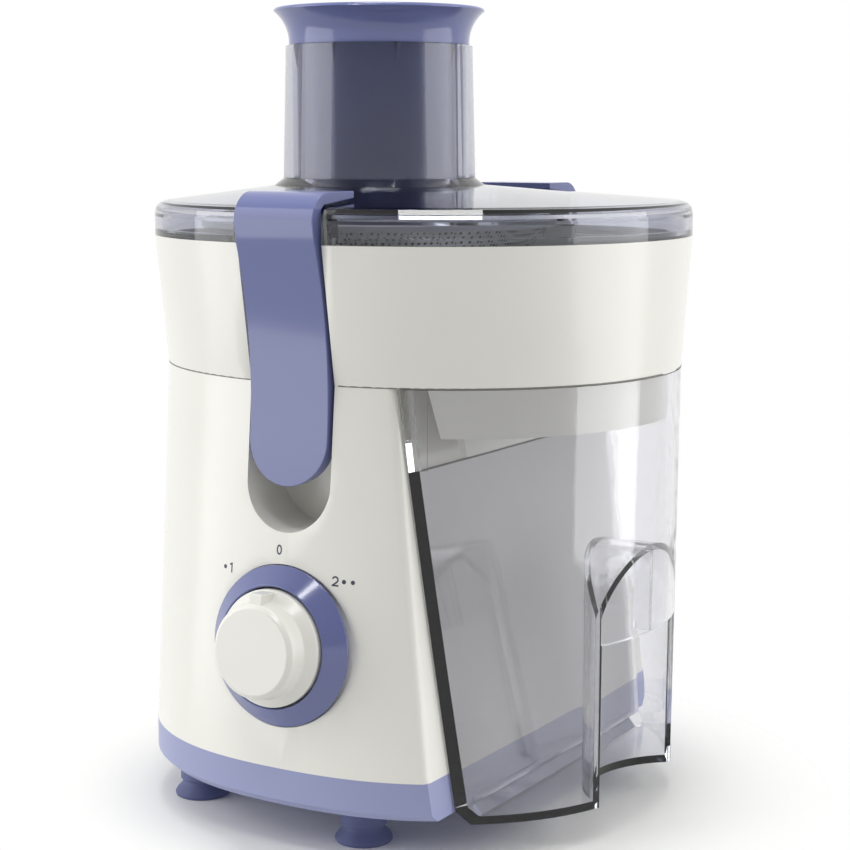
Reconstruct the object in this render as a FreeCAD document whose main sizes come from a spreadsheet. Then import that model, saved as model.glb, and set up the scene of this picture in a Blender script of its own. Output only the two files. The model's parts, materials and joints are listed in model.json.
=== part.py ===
import FreeCAD, Part
import math
import os
import Sketcher
from FreeCAD import Placement, Rotation, Vector

# A countertop centrifugal juicer. Lengths are millimetres, +Z is up, the control panel faces -Y and
# the pulp container stands on the +X side. The plan of the body is a superellipse about one upright
# axis; the motor, the filter and the feed tube share a spindle axis to the left of it.

SIZES = {
    # Heights, stacked from the table up
    "foot_height": (16.2, "table to the underside of the base"),
    "base_height": (13.7, "base tray, underside to its joint with the housing"),
    "housing_height": (131.8, "motor housing between base joint and bowl seat"),
    "bowl_height": (47.5, "juice collector between its seat and the lid"),
    "lid_rim_height": (12.4, "upright rim of the lid"),
    "lid_rise": (5.2, "rise of the lid from its rim to the feed tube"),
    "tube_height": (51.1, "feed tube above the lid"),
    "flange_height": (13.5, "trumpet flange of the pusher"),
    "plan_shift": (3.5, "body axis behind the middle of the bounding box"),
    # Plan outlines
    "foot_half_x": (95.0, "half width of the body at the base joint"),
    "foot_half_y": (97.3, "half depth of the body at the base joint"),
    "foot_power": (2.37, "squareness of the outline at the base joint"),
    "waist_half_x": (97.1, "half width at the bowl seat"),
    "waist_half_y": (86.0, "half depth at the bowl seat"),
    "waist_power": (2.11, "squareness of the outline at the bowl seat"),
    "lid_flare_x": (2.4, "half width at the lid seat beyond that at the bowl seat"),
    "lid_flare_y": (7.4, "half depth at the lid seat beyond that at the bowl seat"),
    "spindle_x": (-19.0, "spindle and feed tube axis, left of the body axis"),
    "side_top_x": (38.0, "flat side of the housing at the bowl seat"),
    "side_foot_x": (54.0, "flat side of the housing at the base joint"),
    "corner_round": (4.0, "round of the upright corners of the housing"),
    # Walls and clearances
    "white_wall": (2.6, "wall of the white mouldings"),
    "clear_wall": (2.4, "wall of the clear mouldings"),
    "seat_gap": (0.3, "gap where a moving piece rests on a fixed one"),
    "container_gap": (0.8, "gap between housing and pulp container"),
    "pin_clearance": (0.05, "radial clearance of pins and shafts in their bores"),
    # Base and feet
    "base_edge_round": (2.6, "rounded lower edge of the base"),
    "cup_radius": (10.3, "rim of a suction foot"),
    "cup_height": (5.2, "flared cup of a suction foot"),
    "cup_lip": (1.6, "flat rim that meets the table"),
    "cup_dish": (1.8, "hollow under a suction foot"),
    "stem_radius": (8.2, "stem of a suction foot"),
    "plug_radius": (4.2, "neck of a foot in its hole in the base"),
    "plug_head": (5.6, "head that holds a foot in the base"),
    "right_foot_inset_x": (34.9, "right hand feet inside the foot of the flat side"),
    "right_foot_inset_y": (26.1, "right hand feet inside the half depth of the body"),
    "left_foot_inset_x": (35.1, "left hand feet inside the half width of the body"),
    "left_foot_inset_y": (36.4, "left hand feet inside the half depth of the body"),
    "post_radius": (4.6, "screw posts in the housing"),
    "post_inset": (6.6, "screw posts from the outer outline"),
    "post_height": (26.0, "screw posts above the base joint"),
    "screw_radius": (1.7, "base screws"),
    "screw_head": (3.2, "heads of the base screws"),
    "screw_length": (16.0, "thread of a base screw above the base floor"),
    "vent_count": (9, "air slots under the motor"),
    "vent_radius": (30.0, "circle of air slots"),
    "vent_length": (16.0, "one air slot"),
    "vent_width": (4.0, "one air slot"),
    "ledge_reach": (4.0, "ledge of the base under the container's chamfer"),
    # Clamps
    "clamp_width": (32.0, "front and rear clamp"),
    "clamp_thick": (5.4, "clamp lever"),
    "clamp_proud": (1.2, "clamp in front of the body"),
    "clamp_side_gap": (1.2, "gap beside a clamp"),
    "slot_depth": (6.6, "clamp slot in collector and lid"),
    "clamp_tail": (34.7, "rounded lower end below the bowl seat"),
    "clamp_top": (4.9, "crown of a clamp above the rim of the lid"),
    "clamp_bend": (10.0, "outer bend of the hook"),
    "hook_reach": (25.0, "hook measured from the front of the lever"),
    "hook_gap": (0.7, "hook above the lid"),
    "recess_depth": (19.0, "finger recess in the housing"),
    "recess_drop": (50.7, "finger recess below the bowl seat"),
    "pivot_drop": (14.7, "clamp pivot below the bowl seat"),
    "pivot_inset": (8.0, "clamp pivot behind the housing surface"),
    "pivot_pin_radius": (2.0, "clamp pin"),
    "pivot_boss_radius": (4.6, "boss on the clamp around its pin"),
    "pivot_boss_width": (22.0, "boss on the clamp along its pin"),
    # Control knob
    "dial_height": (72.2, "middle of the dial above the table"),
    "bezel_radius": (27.8, "ring around the knob"),
    "bezel_thick": (4.0, "ring around the knob"),
    "bezel_hole": (20.8, "opening of the ring"),
    "dial_seat": (2.5, "flat seat of the ring below the panel"),
    "knob_radius": (20.2, "flange of the knob"),
    "knob_flange": (5.6, "flange of the knob in front of the ring seat"),
    "knob_boss": (16.4, "foot of the knob's boss"),
    "knob_face": (13.6, "flat face of the knob"),
    "knob_height": (18.0, "face of the knob in front of the ring seat"),
    "knob_lift": (0.6, "knob in front of the ring seat"),
    "pointer_width": (5.4, "ridge that points at the figures"),
    "switch_size": (28.0, "rotary switch behind the panel"),
    "switch_depth": (22.0, "rotary switch behind the panel"),
    "switch_bush": (5.5, "threaded bush of the switch"),
    "switch_shaft_radius": (3.0, "shaft that the knob sits on"),
    # Lid and pusher
    "lid_edge": (4.4, "rounded shoulder of the lid"),
    "tube_root_radius": (36.0, "feed tube at the lid"),
    "tube_top_radius": (34.8, "feed tube at its mouth"),
    "tube_bore": (32.4, "bore of the feed tube"),
    "tube_fillet": (2.6, "fillet at the foot of the tube"),
    "tube_drop": (16.0, "feed tube below the seat of the lid"),
    "lid_lip": (3.2, "locating lip of the lid inside the collector"),
    "pusher_radius": (30.6, "body of the pusher"),
    "pusher_wall": (2.2, "wall of the pusher"),
    "pusher_length": (82.0, "pusher below its flange"),
    "flange_neck": (33.6, "pusher flange where it meets the tube"),
    "flange_rim": (39.2, "rim of the pusher flange"),
    "flare_across": (0.27, "how far out the flare is, as a share, at its middle point"),
    "flare_up": (0.6, "how far up that middle point is, as a share"),
    "rib_count": (8, "guide ribs under the pusher flange"),
    "rib_length": (16.0, "one guide rib"),
    "rib_width": (1.6, "one guide rib"),
    "rib_reach": (1.4, "guide rib at its upper end"),
    # Juice collector
    "bowl_floor": (2.5, "floor of the collector"),
    "collar_radius": (17.0, "opening around the drive coupling"),
    "collar_height": (12.0, "collar above the floor of the collector"),
    "trough_radius": (59.5, "juice trough wall around the filter"),
    "trough_height": (30.0, "juice trough wall above the floor"),
    "spout_turn": (145.0, "direction of the juice spout from +X"),
    "spout_radius": (9.0, "juice spout"),
    "spout_bore": (6.8, "bore of the juice spout"),
    "spout_reach": (92.0, "mouth of the spout from the spindle axis"),
    "spout_height": (10.8, "middle of the spout above the bowl seat"),
    "chute_top_x": (46.0, "flat wall of the pulp chute at the bowl seat"),
    "chute_lean": (4.0, "lean of the chute's flat wall over its depth"),
    "chute_depth": (17.0, "chute skirt below the bowl seat"),
    "chute_inset": (4.2, "chute skirt inside the outline of the container"),
    "baffle_depth": (24.0, "flat wall of the chute below the bowl seat"),
    "baffle_half": (60.0, "half width of that deeper wall"),
    # Pulp container
    "container_floor_z": (12.0, "underside of the container above the table"),
    "container_half_x": (95.2, "half width at its underside"),
    "container_half_y": (85.4, "half depth at its underside"),
    "container_power": (2.16, "squareness at its underside"),
    "container_dip": (28.0, "inner wall below the bowl seat between its posts"),
    "container_post_y": (74.0, "half width of that lower stretch"),
    "container_chamfer": (4.0, "lower inner edge"),
    "grip_half": (31.0, "half width of the grip arch"),
    "grip_spring": (68.0, "spring line of the grip arch above the table"),
    "grip_scoop": (37.0, "radius of the scooped back of the grip"),
    "grip_depth": (20.0, "grip behind the outer wall"),
    "hood_edge": (70.0, "lower edge of the hood above the table"),
    "hood_rib": (2.0, "upright rib on the hood"),
    # Drive
    "shaft_radius": (4.0, "motor shaft"),
    "shaft_foot": (47.0, "lower end of the shaft above the table"),
    "coupling_radius": (13.5, "drive coupling"),
    "coupling_rise": (3.0, "coupling above the bowl seat"),
    "coupling_height": (18.0, "drive coupling"),
    "coupling_teeth": (6, "dogs on the coupling"),
    "dog_width": (3.6, "one dog of the coupling"),
    "dog_height": (0.9, "one dog of the coupling"),
    "deck_thick": (3.0, "top deck of the housing"),
    "deck_hole": (11.5, "hole in the deck around the shaft"),
    "damper_height": (9.7, "rubber dampers of the motor"),
    "damper_radius": (5.0, "rubber dampers of the motor"),
    "damper_offset": (26.0, "dampers from the spindle along X and Y"),
    "bracket_thick": (4.0, "motor brackets"),
    "bracket_half": (34.0, "half side of a motor bracket"),
    "leg_radius": (3.4, "bracket legs"),
    "leg_offset": (29.0, "bracket legs from the spindle"),
    "upper_leg": (13.0, "upper bracket above the stator"),
    "lower_leg": (18.0, "lower bracket below the stator"),
    "bearing_radius": (11.0, "ball bearings"),
    "bearing_height": (7.0, "ball bearings"),
    "stator_height": (40.0, "stator stack"),
    "stator_radius": (34.0, "stator stack"),
    "stator_bore": (21.2, "stator stack"),
    "rotor_radius": (20.8, "rotor stack"),
    "rotor_height": (34.0, "rotor stack"),
    "coil_height": (8.0, "field coils beyond the stator"),
    "coil_span": (100.0, "arc of one field coil in degrees"),
    "commutator_radius": (11.0, "commutator"),
    "commutator_height": (11.0, "commutator"),
    "brush_gap": (0.4, "brush in front of the commutator"),
    "brush_width": (9.0, "brush holder"),
    "brush_length": (13.0, "brush holder"),
    "fan_radius": (38.0, "cooling fan"),
    "fan_height": (12.0, "blades of the cooling fan"),
    "fan_blades": (9, "blades of the cooling fan"),
    "fan_hub": (10.5, "hub of the cooling fan"),
    "fan_disc": (2.0, "disc under the blades"),
    "blade_width": (1.4, "one blade of the cooling fan"),
    # Filter
    "hub_rise": (16.3, "filter hub above the bowl seat"),
    "hub_height": (9.0, "filter hub"),
    "hub_radius": (18.0, "filter hub"),
    "filter_foot": (51.0, "filter basket at its foot"),
    "filter_top": (62.6, "filter basket at its rim"),
    "filter_wall": (0.8, "perforated wall of the basket"),
    "filter_height": (25.0, "perforated wall of the basket"),
    "filter_disc": (3.0, "plastic disc under the grater"),
    "rim_width": (4.2, "plastic rim of the basket"),
    "rim_height": (4.0, "plastic rim of the basket"),
    "grater_radius": (49.5, "steel grating disc"),
    "grater_thick": (1.0, "steel grating disc"),
    "tooth_count": (18, "grating teeth in one circle"),
    "tooth_height": (1.8, "one grating tooth"),
    "tooth_length": (3.6, "one grating tooth"),
    "tooth_width": (1.8, "one grating tooth"),
    # Rear inlet
    "gland_height": (47.0, "cord inlet above the table"),
    "gland_radius": (8.0, "flanges of the cord gland"),
    "gland_neck": (5.6, "cord gland in its hole"),
    "gland_bore": (3.4, "way for a cord through the gland"),
    "gland_flange": (2.4, "flange of the gland inside the wall"),
    "gland_nose": (7.0, "gland behind the wall"),
}

# Ways of drawing: points on an outline, steps of a rounded edge, and how far a cutting tool runs past
OUTLINE_POINTS = 24
EDGE_TURNS = (0, 30, 60, 90)
OVERCUT = 1.0
PANEL_REACH = 120.0
# Screw posts about the body axis, in degrees from +X
POST_TURNS = (66.0, 165.0, 195.0, 294.0)
TOOTH_CIRCLES = 3


class Dim:
    """A length with the spreadsheet expression that it comes from."""

    def __init__(self, number, text):
        self.number = number
        self.text = text

    def __float__(self):
        return float(self.number)

    def joined(self, other, sign, number):
        other_text = other.text if isinstance(other, Dim) else f"{other:g}"
        return Dim(number, f"({self.text} {sign} {other_text})")

    def __add__(self, other):
        return self.joined(other, "+", float(self) + float(other))

    def __sub__(self, other):
        return self.joined(other, "-", float(self) - float(other))

    def __mul__(self, other):
        return self.joined(other, "*", float(self) * float(other))

    def __truediv__(self, other):
        return self.joined(other, "/", float(self) / float(other))

    def __neg__(self):
        return Dim(-float(self), f"(-1 * {self.text})")


class Sizes:
    """The spreadsheet's driving dimensions as Dim attributes."""

    def __init__(self, sheet):
        for row, (name, (number, note)) in enumerate(SIZES.items(), 1):
            sheet.set(f"A{row}", name)
            sheet.set(f"B{row}", str(number))
            sheet.setAlias(f"B{row}", name)
            sheet.set(f"C{row}", note)
            setattr(self, name, Dim(number, f"Sizes.{name}"))


doc = FreeCAD.newDocument("juicer")
s = Sizes(doc.addObject("Spreadsheet::Sheet", "Sizes"))
doc.recompute()
ZERO = s.foot_height * 0
nodes = []

# Levels that several pieces share
BASE_JOINT = s.foot_height + s.base_height
BOWL_SEAT = BASE_JOINT + s.housing_height
LID_SEAT = BOWL_SEAT + s.bowl_height
LID_SHOULDER = LID_SEAT + s.lid_rim_height
TUBE_ROOT = LID_SHOULDER + s.lid_rise
TUBE_TOP = TUBE_ROOT + s.tube_height
BASE_FLOOR = s.foot_height + s.white_wall
LID_HALF_X = s.waist_half_x + s.lid_flare_x
LID_HALF_Y = s.waist_half_y + s.lid_flare_y
FOOT_PLACES = (
    ("right", s.side_foot_x - s.right_foot_inset_x, s.foot_half_y - s.right_foot_inset_y),
    ("left", s.left_foot_inset_x - s.foot_half_x, s.foot_half_y - s.left_foot_inset_y),
)
DECK_UNDER = BOWL_SEAT - s.deck_thick
BRACKET_TOP = DECK_UNDER - s.damper_height
STATOR_TOP = BRACKET_TOP - s.bracket_thick - s.upper_leg
STATOR_FOOT = STATOR_TOP - s.stator_height
LOWER_BRACKET = STATOR_FOOT - s.lower_leg
HUB_FOOT = BOWL_SEAT + s.hub_rise
HUB_TOP = HUB_FOOT + s.hub_height
GRATER_TOP = HUB_TOP + s.grater_thick
PANEL_TILT = math.degrees(math.atan2(float(s.foot_half_y - s.waist_half_y), float(s.housing_height)))


# Document helpers
def keep(label, item, x=ZERO, z=ZERO, y=ZERO):
    """Name a finished sub-part and set it down in the shared frame."""
    item.Label = label
    for axis, place in (("x", x), ("y", s.plan_shift + y), ("z", z)):
        item.setExpression(f"Placement.Base.{axis}", place.text)
    nodes.append(item)
    return item


def keep_turned(label, item, center, rotation):
    """Name a finished sub-part whose own Z axis is turned away from upright."""
    item.Label = label
    item.Placement = Placement(center + Vector(0, float(s.plan_shift), 0), rotation)
    nodes.append(item)
    return item


def keep_shape(label, shape):
    """A moulded sub-part whose shape is worked out from the sheet's sizes."""
    item = doc.addObject("Part::Feature", label)
    item.Shape = shape.removeSplitter()
    return keep(label, item)


def sketch_on(body, role, points, lift=ZERO):
    """A closed sketch of straight edges with both coordinates of every corner bound to the sheet."""
    sketch = body.newObject("Sketcher::SketchObject", f"{body.Name}_sketch")
    plane = next(item for item in body.Origin.OriginFeatures if item.Role == role)
    sketch.AttachmentSupport = [(plane, "")]
    sketch.MapMode = "FlatFace"
    sketch.setExpression("AttachmentOffset.Base.z", lift.text)
    count = len(points)
    for index in range(count):
        start, end = points[index], points[(index + 1) % count]
        ends = [Vector(float(x), float(y)) for x, y in (start, end)]
        sketch.addGeometry(Part.LineSegment(*ends), False)
    for index in range(count):
        sketch.addConstraint(Sketcher.Constraint("Coincident", index, 2, (index + 1) % count, 1))
    for index, corner in enumerate(points):
        for kind, place in zip(("DistanceX", "DistanceY"), corner):
            row = sketch.addConstraint(Sketcher.Constraint(kind, -1, 1, index, 1, float(place)))
            sketch.setExpression(f"Constraints[{row}]", place.text)
    return sketch


def turned(name, points):
    """A body turned about its own Z axis from a (radius, height) profile."""
    body = doc.addObject("PartDesign::Body", name)
    sketch = sketch_on(body, "XZ_Plane", points)
    revolution = body.newObject("PartDesign::Revolution", f"{name}_turn")
    revolution.Profile = sketch
    revolution.ReferenceAxis = (sketch, ["V_Axis"])
    revolution.Angle = 360
    return body


def add_pad(body, points, length, lift=ZERO):
    """Pad a closed outline upwards from a level of the body's own frame."""
    sketch = sketch_on(body, "XY_Plane", points, lift)
    pad = body.newObject("PartDesign::Pad", f"{body.Name}_pad")
    pad.Profile = sketch
    pad.setExpression("Length", length.text)
    return pad


def around_axis(body, feature, count):
    """Repeat a feature of a body evenly about its own Z axis."""
    pattern = body.newObject("PartDesign::PolarPattern", f"{body.Name}_pattern")
    pattern.Originals = [feature]
    axis = next(item for item in body.Origin.OriginFeatures if item.Role == "Z_Axis")
    pattern.Axis = (axis, [""])
    pattern.Angle = 360
    pattern.setExpression("Occurrences", count.text)
    body.Tip = pattern
    return pattern


def rectangle(low_x, low_y, high_x, high_y):
    return [(low_x, low_y), (high_x, low_y), (high_x, high_y), (low_x, high_y)]


def ring_profile(inner, outer, low, high):
    return rectangle(inner, low, outer, high)


# Primitives bound to the sheet
def set_down(item, place):
    for axis, length in zip("xyz", place):
        item.setExpression(f"Placement.Base.{axis}", length.text)
    return item


def box(name, length, width, height, place):
    item = doc.addObject("Part::Box", name)
    for key, size in (("Length", length), ("Width", width), ("Height", height)):
        item.setExpression(key, size.text)
    return set_down(item, place)


def cylinder(name, radius, height, place):
    item = doc.addObject("Part::Cylinder", name)
    item.setExpression("Radius", radius.text)
    item.setExpression("Height", height.text)
    return set_down(item, place)


def fuse(name, items):
    item = doc.addObject("Part::MultiFuse", name)
    item.Shapes = items
    return item


def cut(name, item, tools):
    tool = tools[0] if len(tools) == 1 else fuse(f"{name}_tools", tools)
    result = doc.addObject("Part::Cut", name)
    result.Base = item
    result.Tool = tool
    return result


def group(name, items):
    item = doc.addObject("Part::Compound", name)
    item.Links = items
    return item


# Shape helpers for the moulded shells
def outline(z, half_x, half_y, power, center_x=0.0):
    """A closed curve through points of a superellipse, taken at even polar angles."""
    points = []
    for index in range(OUTLINE_POINTS):
        turn = 2 * math.pi * index / OUTLINE_POINTS
        flat = abs(math.cos(turn) / float(half_x)) ** float(power)
        deep = abs(math.sin(turn) / float(half_y)) ** float(power)
        reach = (flat + deep) ** (-1 / float(power))
        points.append(Vector(center_x + reach * math.cos(turn), reach * math.sin(turn), float(z)))
    curve = Part.BSplineCurve()
    curve.interpolate(points, PeriodicFlag=True)
    return Part.Wire(curve.toShape())


def stacked(levels):
    """A solid with straight sides between outlines at rising levels."""
    return Part.makeLoft([outline(*level) for level in levels], True, True)


def prism_x(points, half_width):
    """A (y, z) outline extruded evenly about the plane X = 0."""
    corners = [Vector(-half_width, float(y), float(z)) for y, z in points]
    face = Part.Face(Part.makePolygon(corners + corners[:1]))
    return face.extrude(Vector(2 * half_width, 0, 0))


def prism_y(points, half_depth):
    """An (x, z) outline extruded evenly about the plane Y = 0."""
    corners = [Vector(float(x), -half_depth, float(z)) for x, z in points]
    face = Part.Face(Part.makePolygon(corners + corners[:1]))
    return face.extrude(Vector(0, 2 * half_depth, 0))


def upright(radius, low, high, x=0.0, y=0.0):
    return Part.makeCylinder(float(radius), float(high) - float(low), Vector(float(x), float(y), float(low)))


def mirrored_y(shape):
    return shape.mirror(Vector(0, 0, 0), Vector(0, 1, 0))


def side_x(z):
    """The flat, leaning side of the housing at one height."""
    share = (float(z) - float(BASE_JOINT)) / float(s.housing_height)
    return float(s.side_foot_x) + share * float(s.side_top_x - s.side_foot_x)


def beside_side(low, high, shift, far_x):
    """Everything between the leaning side, shifted along X, and a far plane."""
    points = [(far_x, low), (side_x(low) + shift, low), (side_x(high) + shift, high), (far_x, high)]
    return prism_y(points, PANEL_REACH)


def body_half_y(z):
    """Half depth of the housing surface on the plane X = 0."""
    share = (float(z) - float(BASE_JOINT)) / float(s.housing_height)
    return float(s.foot_half_y) + share * float(s.waist_half_y - s.foot_half_y)


def bowl_halves(z, inset=0.0):
    """Half width and half depth of the collector surface, carried on upwards past the lid."""
    share = (float(z) - float(BOWL_SEAT)) / float(s.bowl_height)
    half_x = float(s.waist_half_x) + share * float(LID_HALF_X - s.waist_half_x)
    half_y = float(s.waist_half_y) + share * float(LID_HALF_Y - s.waist_half_y)
    return half_x - inset, half_y - inset


def bowl_half_y(z):
    return bowl_halves(z)[1]


def clamp_slot(grow):
    """Front slot in collector and lid that a clamp lies in, grown by a wall on its buried sides."""
    low = float(BOWL_SEAT) - OVERCUT
    high = float(TUBE_TOP)
    depth = float(s.slot_depth) + grow
    half = float(s.clamp_width) / 2 + float(s.clamp_side_gap) + grow
    points = [(-PANEL_REACH, low), (depth - bowl_half_y(low), low), (depth - bowl_half_y(high), high),
              (-PANEL_REACH, high)]
    return prism_x(points, half)


def both_slots(grow):
    front = clamp_slot(grow)
    return front.fuse(mirrored_y(front))


def finger_recess(grow):
    """Front recess of the housing behind the lower end of a clamp, with a round lower end."""
    half = float(s.clamp_width) / 2 + float(s.clamp_side_gap) + grow
    depth = float(s.recess_depth) + grow
    floor_y = depth - body_half_y(BOWL_SEAT)
    middle = float(BOWL_SEAT - s.recess_drop) - grow + half
    length = PANEL_REACH + floor_y
    block = Part.makeBox(2 * half, length, float(BOWL_SEAT) + OVERCUT - middle,
                        Vector(-half, -PANEL_REACH, middle))
    round_end = Part.makeCylinder(half, length, Vector(0, -PANEL_REACH, middle), Vector(0, 1, 0))
    return block.fuse(round_end)


# Pieces of the base
def make_feet():
    neck_top = BASE_FLOOR
    profile = [
        (ZERO, s.cup_dish),
        (s.cup_radius - s.cup_lip, ZERO),
        (s.cup_radius, ZERO),
        (s.cup_radius, s.cup_lip / 2),
        (s.stem_radius, s.cup_height),
        (s.stem_radius, s.foot_height),
        (s.plug_radius, s.foot_height),
        (s.plug_radius, neck_top),
        (s.plug_head, neck_top),
        (s.plug_radius, neck_top + s.cup_lip),
        (ZERO, neck_top + s.cup_lip),
    ]
    for side, x, y in FOOT_PLACES:
        for end, place in (("front", -y), ("rear", y)):
            name = f"suction_foot_{end}_{side}"
            keep(name, turned(name, profile), x=x, y=place)


def post_places():
    """Screw posts follow the outline of the base at one inset."""
    places = []
    for turn in POST_TURNS:
        across = abs(math.cos(math.radians(turn)) / float(s.foot_half_x - s.post_inset))
        along = abs(math.sin(math.radians(turn)) / float(s.foot_half_y - s.post_inset))
        power = float(s.foot_power)
        reach = (across ** power + along ** power) ** (-1 / power)
        places.append((reach * math.cos(math.radians(turn)), reach * math.sin(math.radians(turn))))
    return places


def make_base():
    low, joint = s.foot_height, BASE_JOINT
    wall = float(s.white_wall)
    edge = s.base_edge_round
    outer = stacked([
        (low, s.foot_half_x - edge, s.foot_half_y - edge, s.foot_power),
        (low + edge, s.foot_half_x, s.foot_half_y, s.foot_power),
        (joint, s.foot_half_x, s.foot_half_y, s.foot_power),
    ]).common(beside_side(low, joint, 0, -PANEL_REACH))
    inner = stacked([
        (BASE_FLOOR, s.foot_half_x - wall, s.foot_half_y - wall, s.foot_power),
        (joint + OVERCUT, s.foot_half_x - wall, s.foot_half_y - wall, s.foot_power),
    ]).common(beside_side(low, joint + OVERCUT, -wall, -PANEL_REACH))
    tray = outer.cut(inner)
    reach = float(s.ledge_reach)
    foot_x = side_x(low)
    container_x = foot_x + float(s.container_gap)
    ledge_top = float(s.container_floor_z + s.container_chamfer) - float(s.seat_gap)
    ledge = prism_y(
        [(foot_x - wall, low), (foot_x - wall, BASE_FLOOR), (foot_x, BASE_FLOOR), (container_x, ledge_top),
         (container_x + reach, ledge_top - reach), (container_x + reach - wall, ledge_top - reach - wall / 2),
         (foot_x, float(low) - wall / 2)],
        float(s.baffle_half))
    tray = tray.fuse(ledge)
    for _, x, y in FOOT_PLACES:
        hole = upright(s.plug_radius + s.pin_clearance, 0, BASE_FLOOR + OVERCUT, x, y)
        tray = tray.cut(hole).cut(mirrored_y(hole))
    for x, y in post_places():
        boss = upright(s.screw_head + s.white_wall, s.foot_height, joint, x, y).common(outer)
        tray = tray.fuse(boss)
        tray = tray.cut(upright(s.screw_radius + s.pin_clearance, 0, joint + OVERCUT, x, y))
        tray = tray.cut(upright(s.screw_head + s.seat_gap, 0, joint - s.white_wall, x, y))
    vent_x = float(s.vent_radius - s.vent_length / 2)
    slot = Part.makeBox(float(s.vent_length), float(s.vent_width), wall + 2 * OVERCUT,
                        Vector(vent_x, -float(s.vent_width) / 2, float(low) - OVERCUT))
    count = int(float(s.vent_count))
    for index in range(count):
        cut = slot.copy()
        cut.rotate(Vector(0, 0, 0), Vector(0, 0, 1), 360 * index / count)
        cut.translate(Vector(float(s.spindle_x), 0, 0))
        tray = tray.cut(cut)
    keep_shape("base_tray", tray)


def make_base_screws():
    solids = []
    seat = BASE_JOINT - s.white_wall
    for x, y in post_places():
        head = upright(s.screw_head, seat - s.screw_head, seat, x, y)
        shank = upright(s.screw_radius, seat, seat + s.screw_length, x, y)
        solids.append(head.fuse(shank).removeSplitter())
    item = doc.addObject("Part::Feature", "base_screws")
    item.Shape = Part.makeCompound(solids)
    keep("base_screws", item)


def gland_frame():
    """Rear wall of the housing at the cord inlet, the turn from upright to its normal, and the normal."""
    center = Vector(0, body_half_y(s.gland_height), float(s.gland_height))
    rotation = Rotation(Vector(1, 0, 0), PANEL_TILT - 90)
    return center, rotation, rotation.multVec(Vector(0, 0, 1))


def make_gland():
    inside = -(s.white_wall + s.seat_gap)
    profile = [
        (s.gland_bore, inside - s.gland_flange),
        (s.gland_radius, inside - s.gland_flange),
        (s.gland_radius, inside),
        (s.gland_neck, inside),
        (s.gland_neck, s.seat_gap),
        (s.gland_radius, s.seat_gap),
        (s.gland_radius, s.gland_flange),
        (s.gland_neck, s.gland_nose),
        (s.gland_bore, s.gland_nose),
    ]
    center, rotation, _ = gland_frame()
    keep_turned("cord_gland", turned("cord_gland", profile), center, rotation)


# Housing and its fittings
def dial_frame():
    """Middle of the ring's seat on the leaning panel and the turn from upright to the panel's normal."""
    center = Vector(0, -body_half_y(s.dial_height), float(s.dial_height))
    rotation = Rotation(Vector(1, 0, 0), 90 - PANEL_TILT)
    normal = rotation.multVec(Vector(0, 0, 1))
    return center - normal * float(s.dial_seat), rotation, normal


def dial_pocket(grow):
    seat, _, normal = dial_frame()
    radius = float(s.bezel_radius) + float(s.seat_gap) + grow
    return Part.makeCylinder(radius, PANEL_REACH, seat - normal * grow, normal)


def through_wall(radius, place, normal):
    """Round tool through the housing's wall, set square to its outside."""
    depth = float(s.white_wall) + 2 * OVERCUT
    return Part.makeCylinder(float(radius), depth, place - normal * (depth - OVERCUT), normal)


def make_housing():
    wall = float(s.white_wall)
    outer = stacked([
        (BASE_JOINT, s.foot_half_x, s.foot_half_y, s.foot_power),
        (BOWL_SEAT, s.waist_half_x, s.waist_half_y, s.waist_power),
    ]).common(beside_side(BASE_JOINT, BOWL_SEAT, 0, -PANEL_REACH))
    corners = [edge for edge in outer.Edges
               if edge.BoundBox.ZLength > float(s.housing_height) / 2 and edge.BoundBox.XMin > 0]
    outer = outer.makeFillet(float(s.corner_round), corners)
    inner = stacked([
        (BASE_JOINT - OVERCUT, s.foot_half_x - wall, s.foot_half_y - wall, s.foot_power),
        (DECK_UNDER, s.waist_half_x - wall, s.waist_half_y - wall, s.waist_power),
    ]).common(beside_side(BASE_JOINT - OVERCUT, DECK_UNDER, -wall, -PANEL_REACH))
    recess, buried = finger_recess(0), finger_recess(wall)
    inner = inner.cut(buried).cut(mirrored_y(buried)).cut(dial_pocket(wall))
    shell = outer.cut(recess).cut(mirrored_y(recess)).cut(dial_pocket(0)).cut(inner)
    for x, y in post_places():
        post = upright(s.post_radius, BASE_JOINT, BASE_JOINT + s.post_height, x, y)
        post = post.cut(upright(s.screw_radius + s.pin_clearance, 0, BASE_JOINT + s.screw_length, x, y))
        shell = shell.fuse(post.common(outer))
    seat, _, normal = dial_frame()
    shell = shell.cut(through_wall(s.switch_bush + s.pin_clearance, seat, normal))
    deck_bore = s.deck_hole + s.pin_clearance
    shell = shell.cut(upright(deck_bore, DECK_UNDER - OVERCUT, BOWL_SEAT + OVERCUT, s.spindle_x))
    inlet, _, rear = gland_frame()
    shell = shell.cut(through_wall(s.gland_neck + s.pin_clearance, inlet, rear))
    pin = clamp_pin_shape(s.pivot_pin_radius + s.pin_clearance)
    keep_shape("motor_housing", shell.cut(pin).cut(mirrored_y(pin)))


def pivot_place():
    z = BOWL_SEAT - s.pivot_drop
    return Vector(0, float(s.pivot_inset) - body_half_y(z), float(z))


def clamp_pin_shape(radius):
    half = float(s.clamp_width) / 2 + float(s.clamp_side_gap) + float(s.white_wall)
    return Part.makeCylinder(float(radius), 2 * half, pivot_place() - Vector(half, 0, 0), Vector(1, 0, 0))


def make_clamp_pins():
    length = s.clamp_width + s.clamp_side_gap * 2 + s.white_wall * 2
    place = pivot_place()
    for name, side in (("front_clamp_pin", 1), ("rear_clamp_pin", -1)):
        pin = doc.addObject("Part::Cylinder", name)
        pin.setExpression("Radius", s.pivot_pin_radius.text)
        pin.setExpression("Height", length.text)
        center = Vector(-float(length) / 2, side * place.y, place.z)
        keep_turned(name, pin, center, Rotation(Vector(0, 1, 0), 90))


def arc(start, middle, end):
    return Part.Arc(start, middle, end).toShape()


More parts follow.
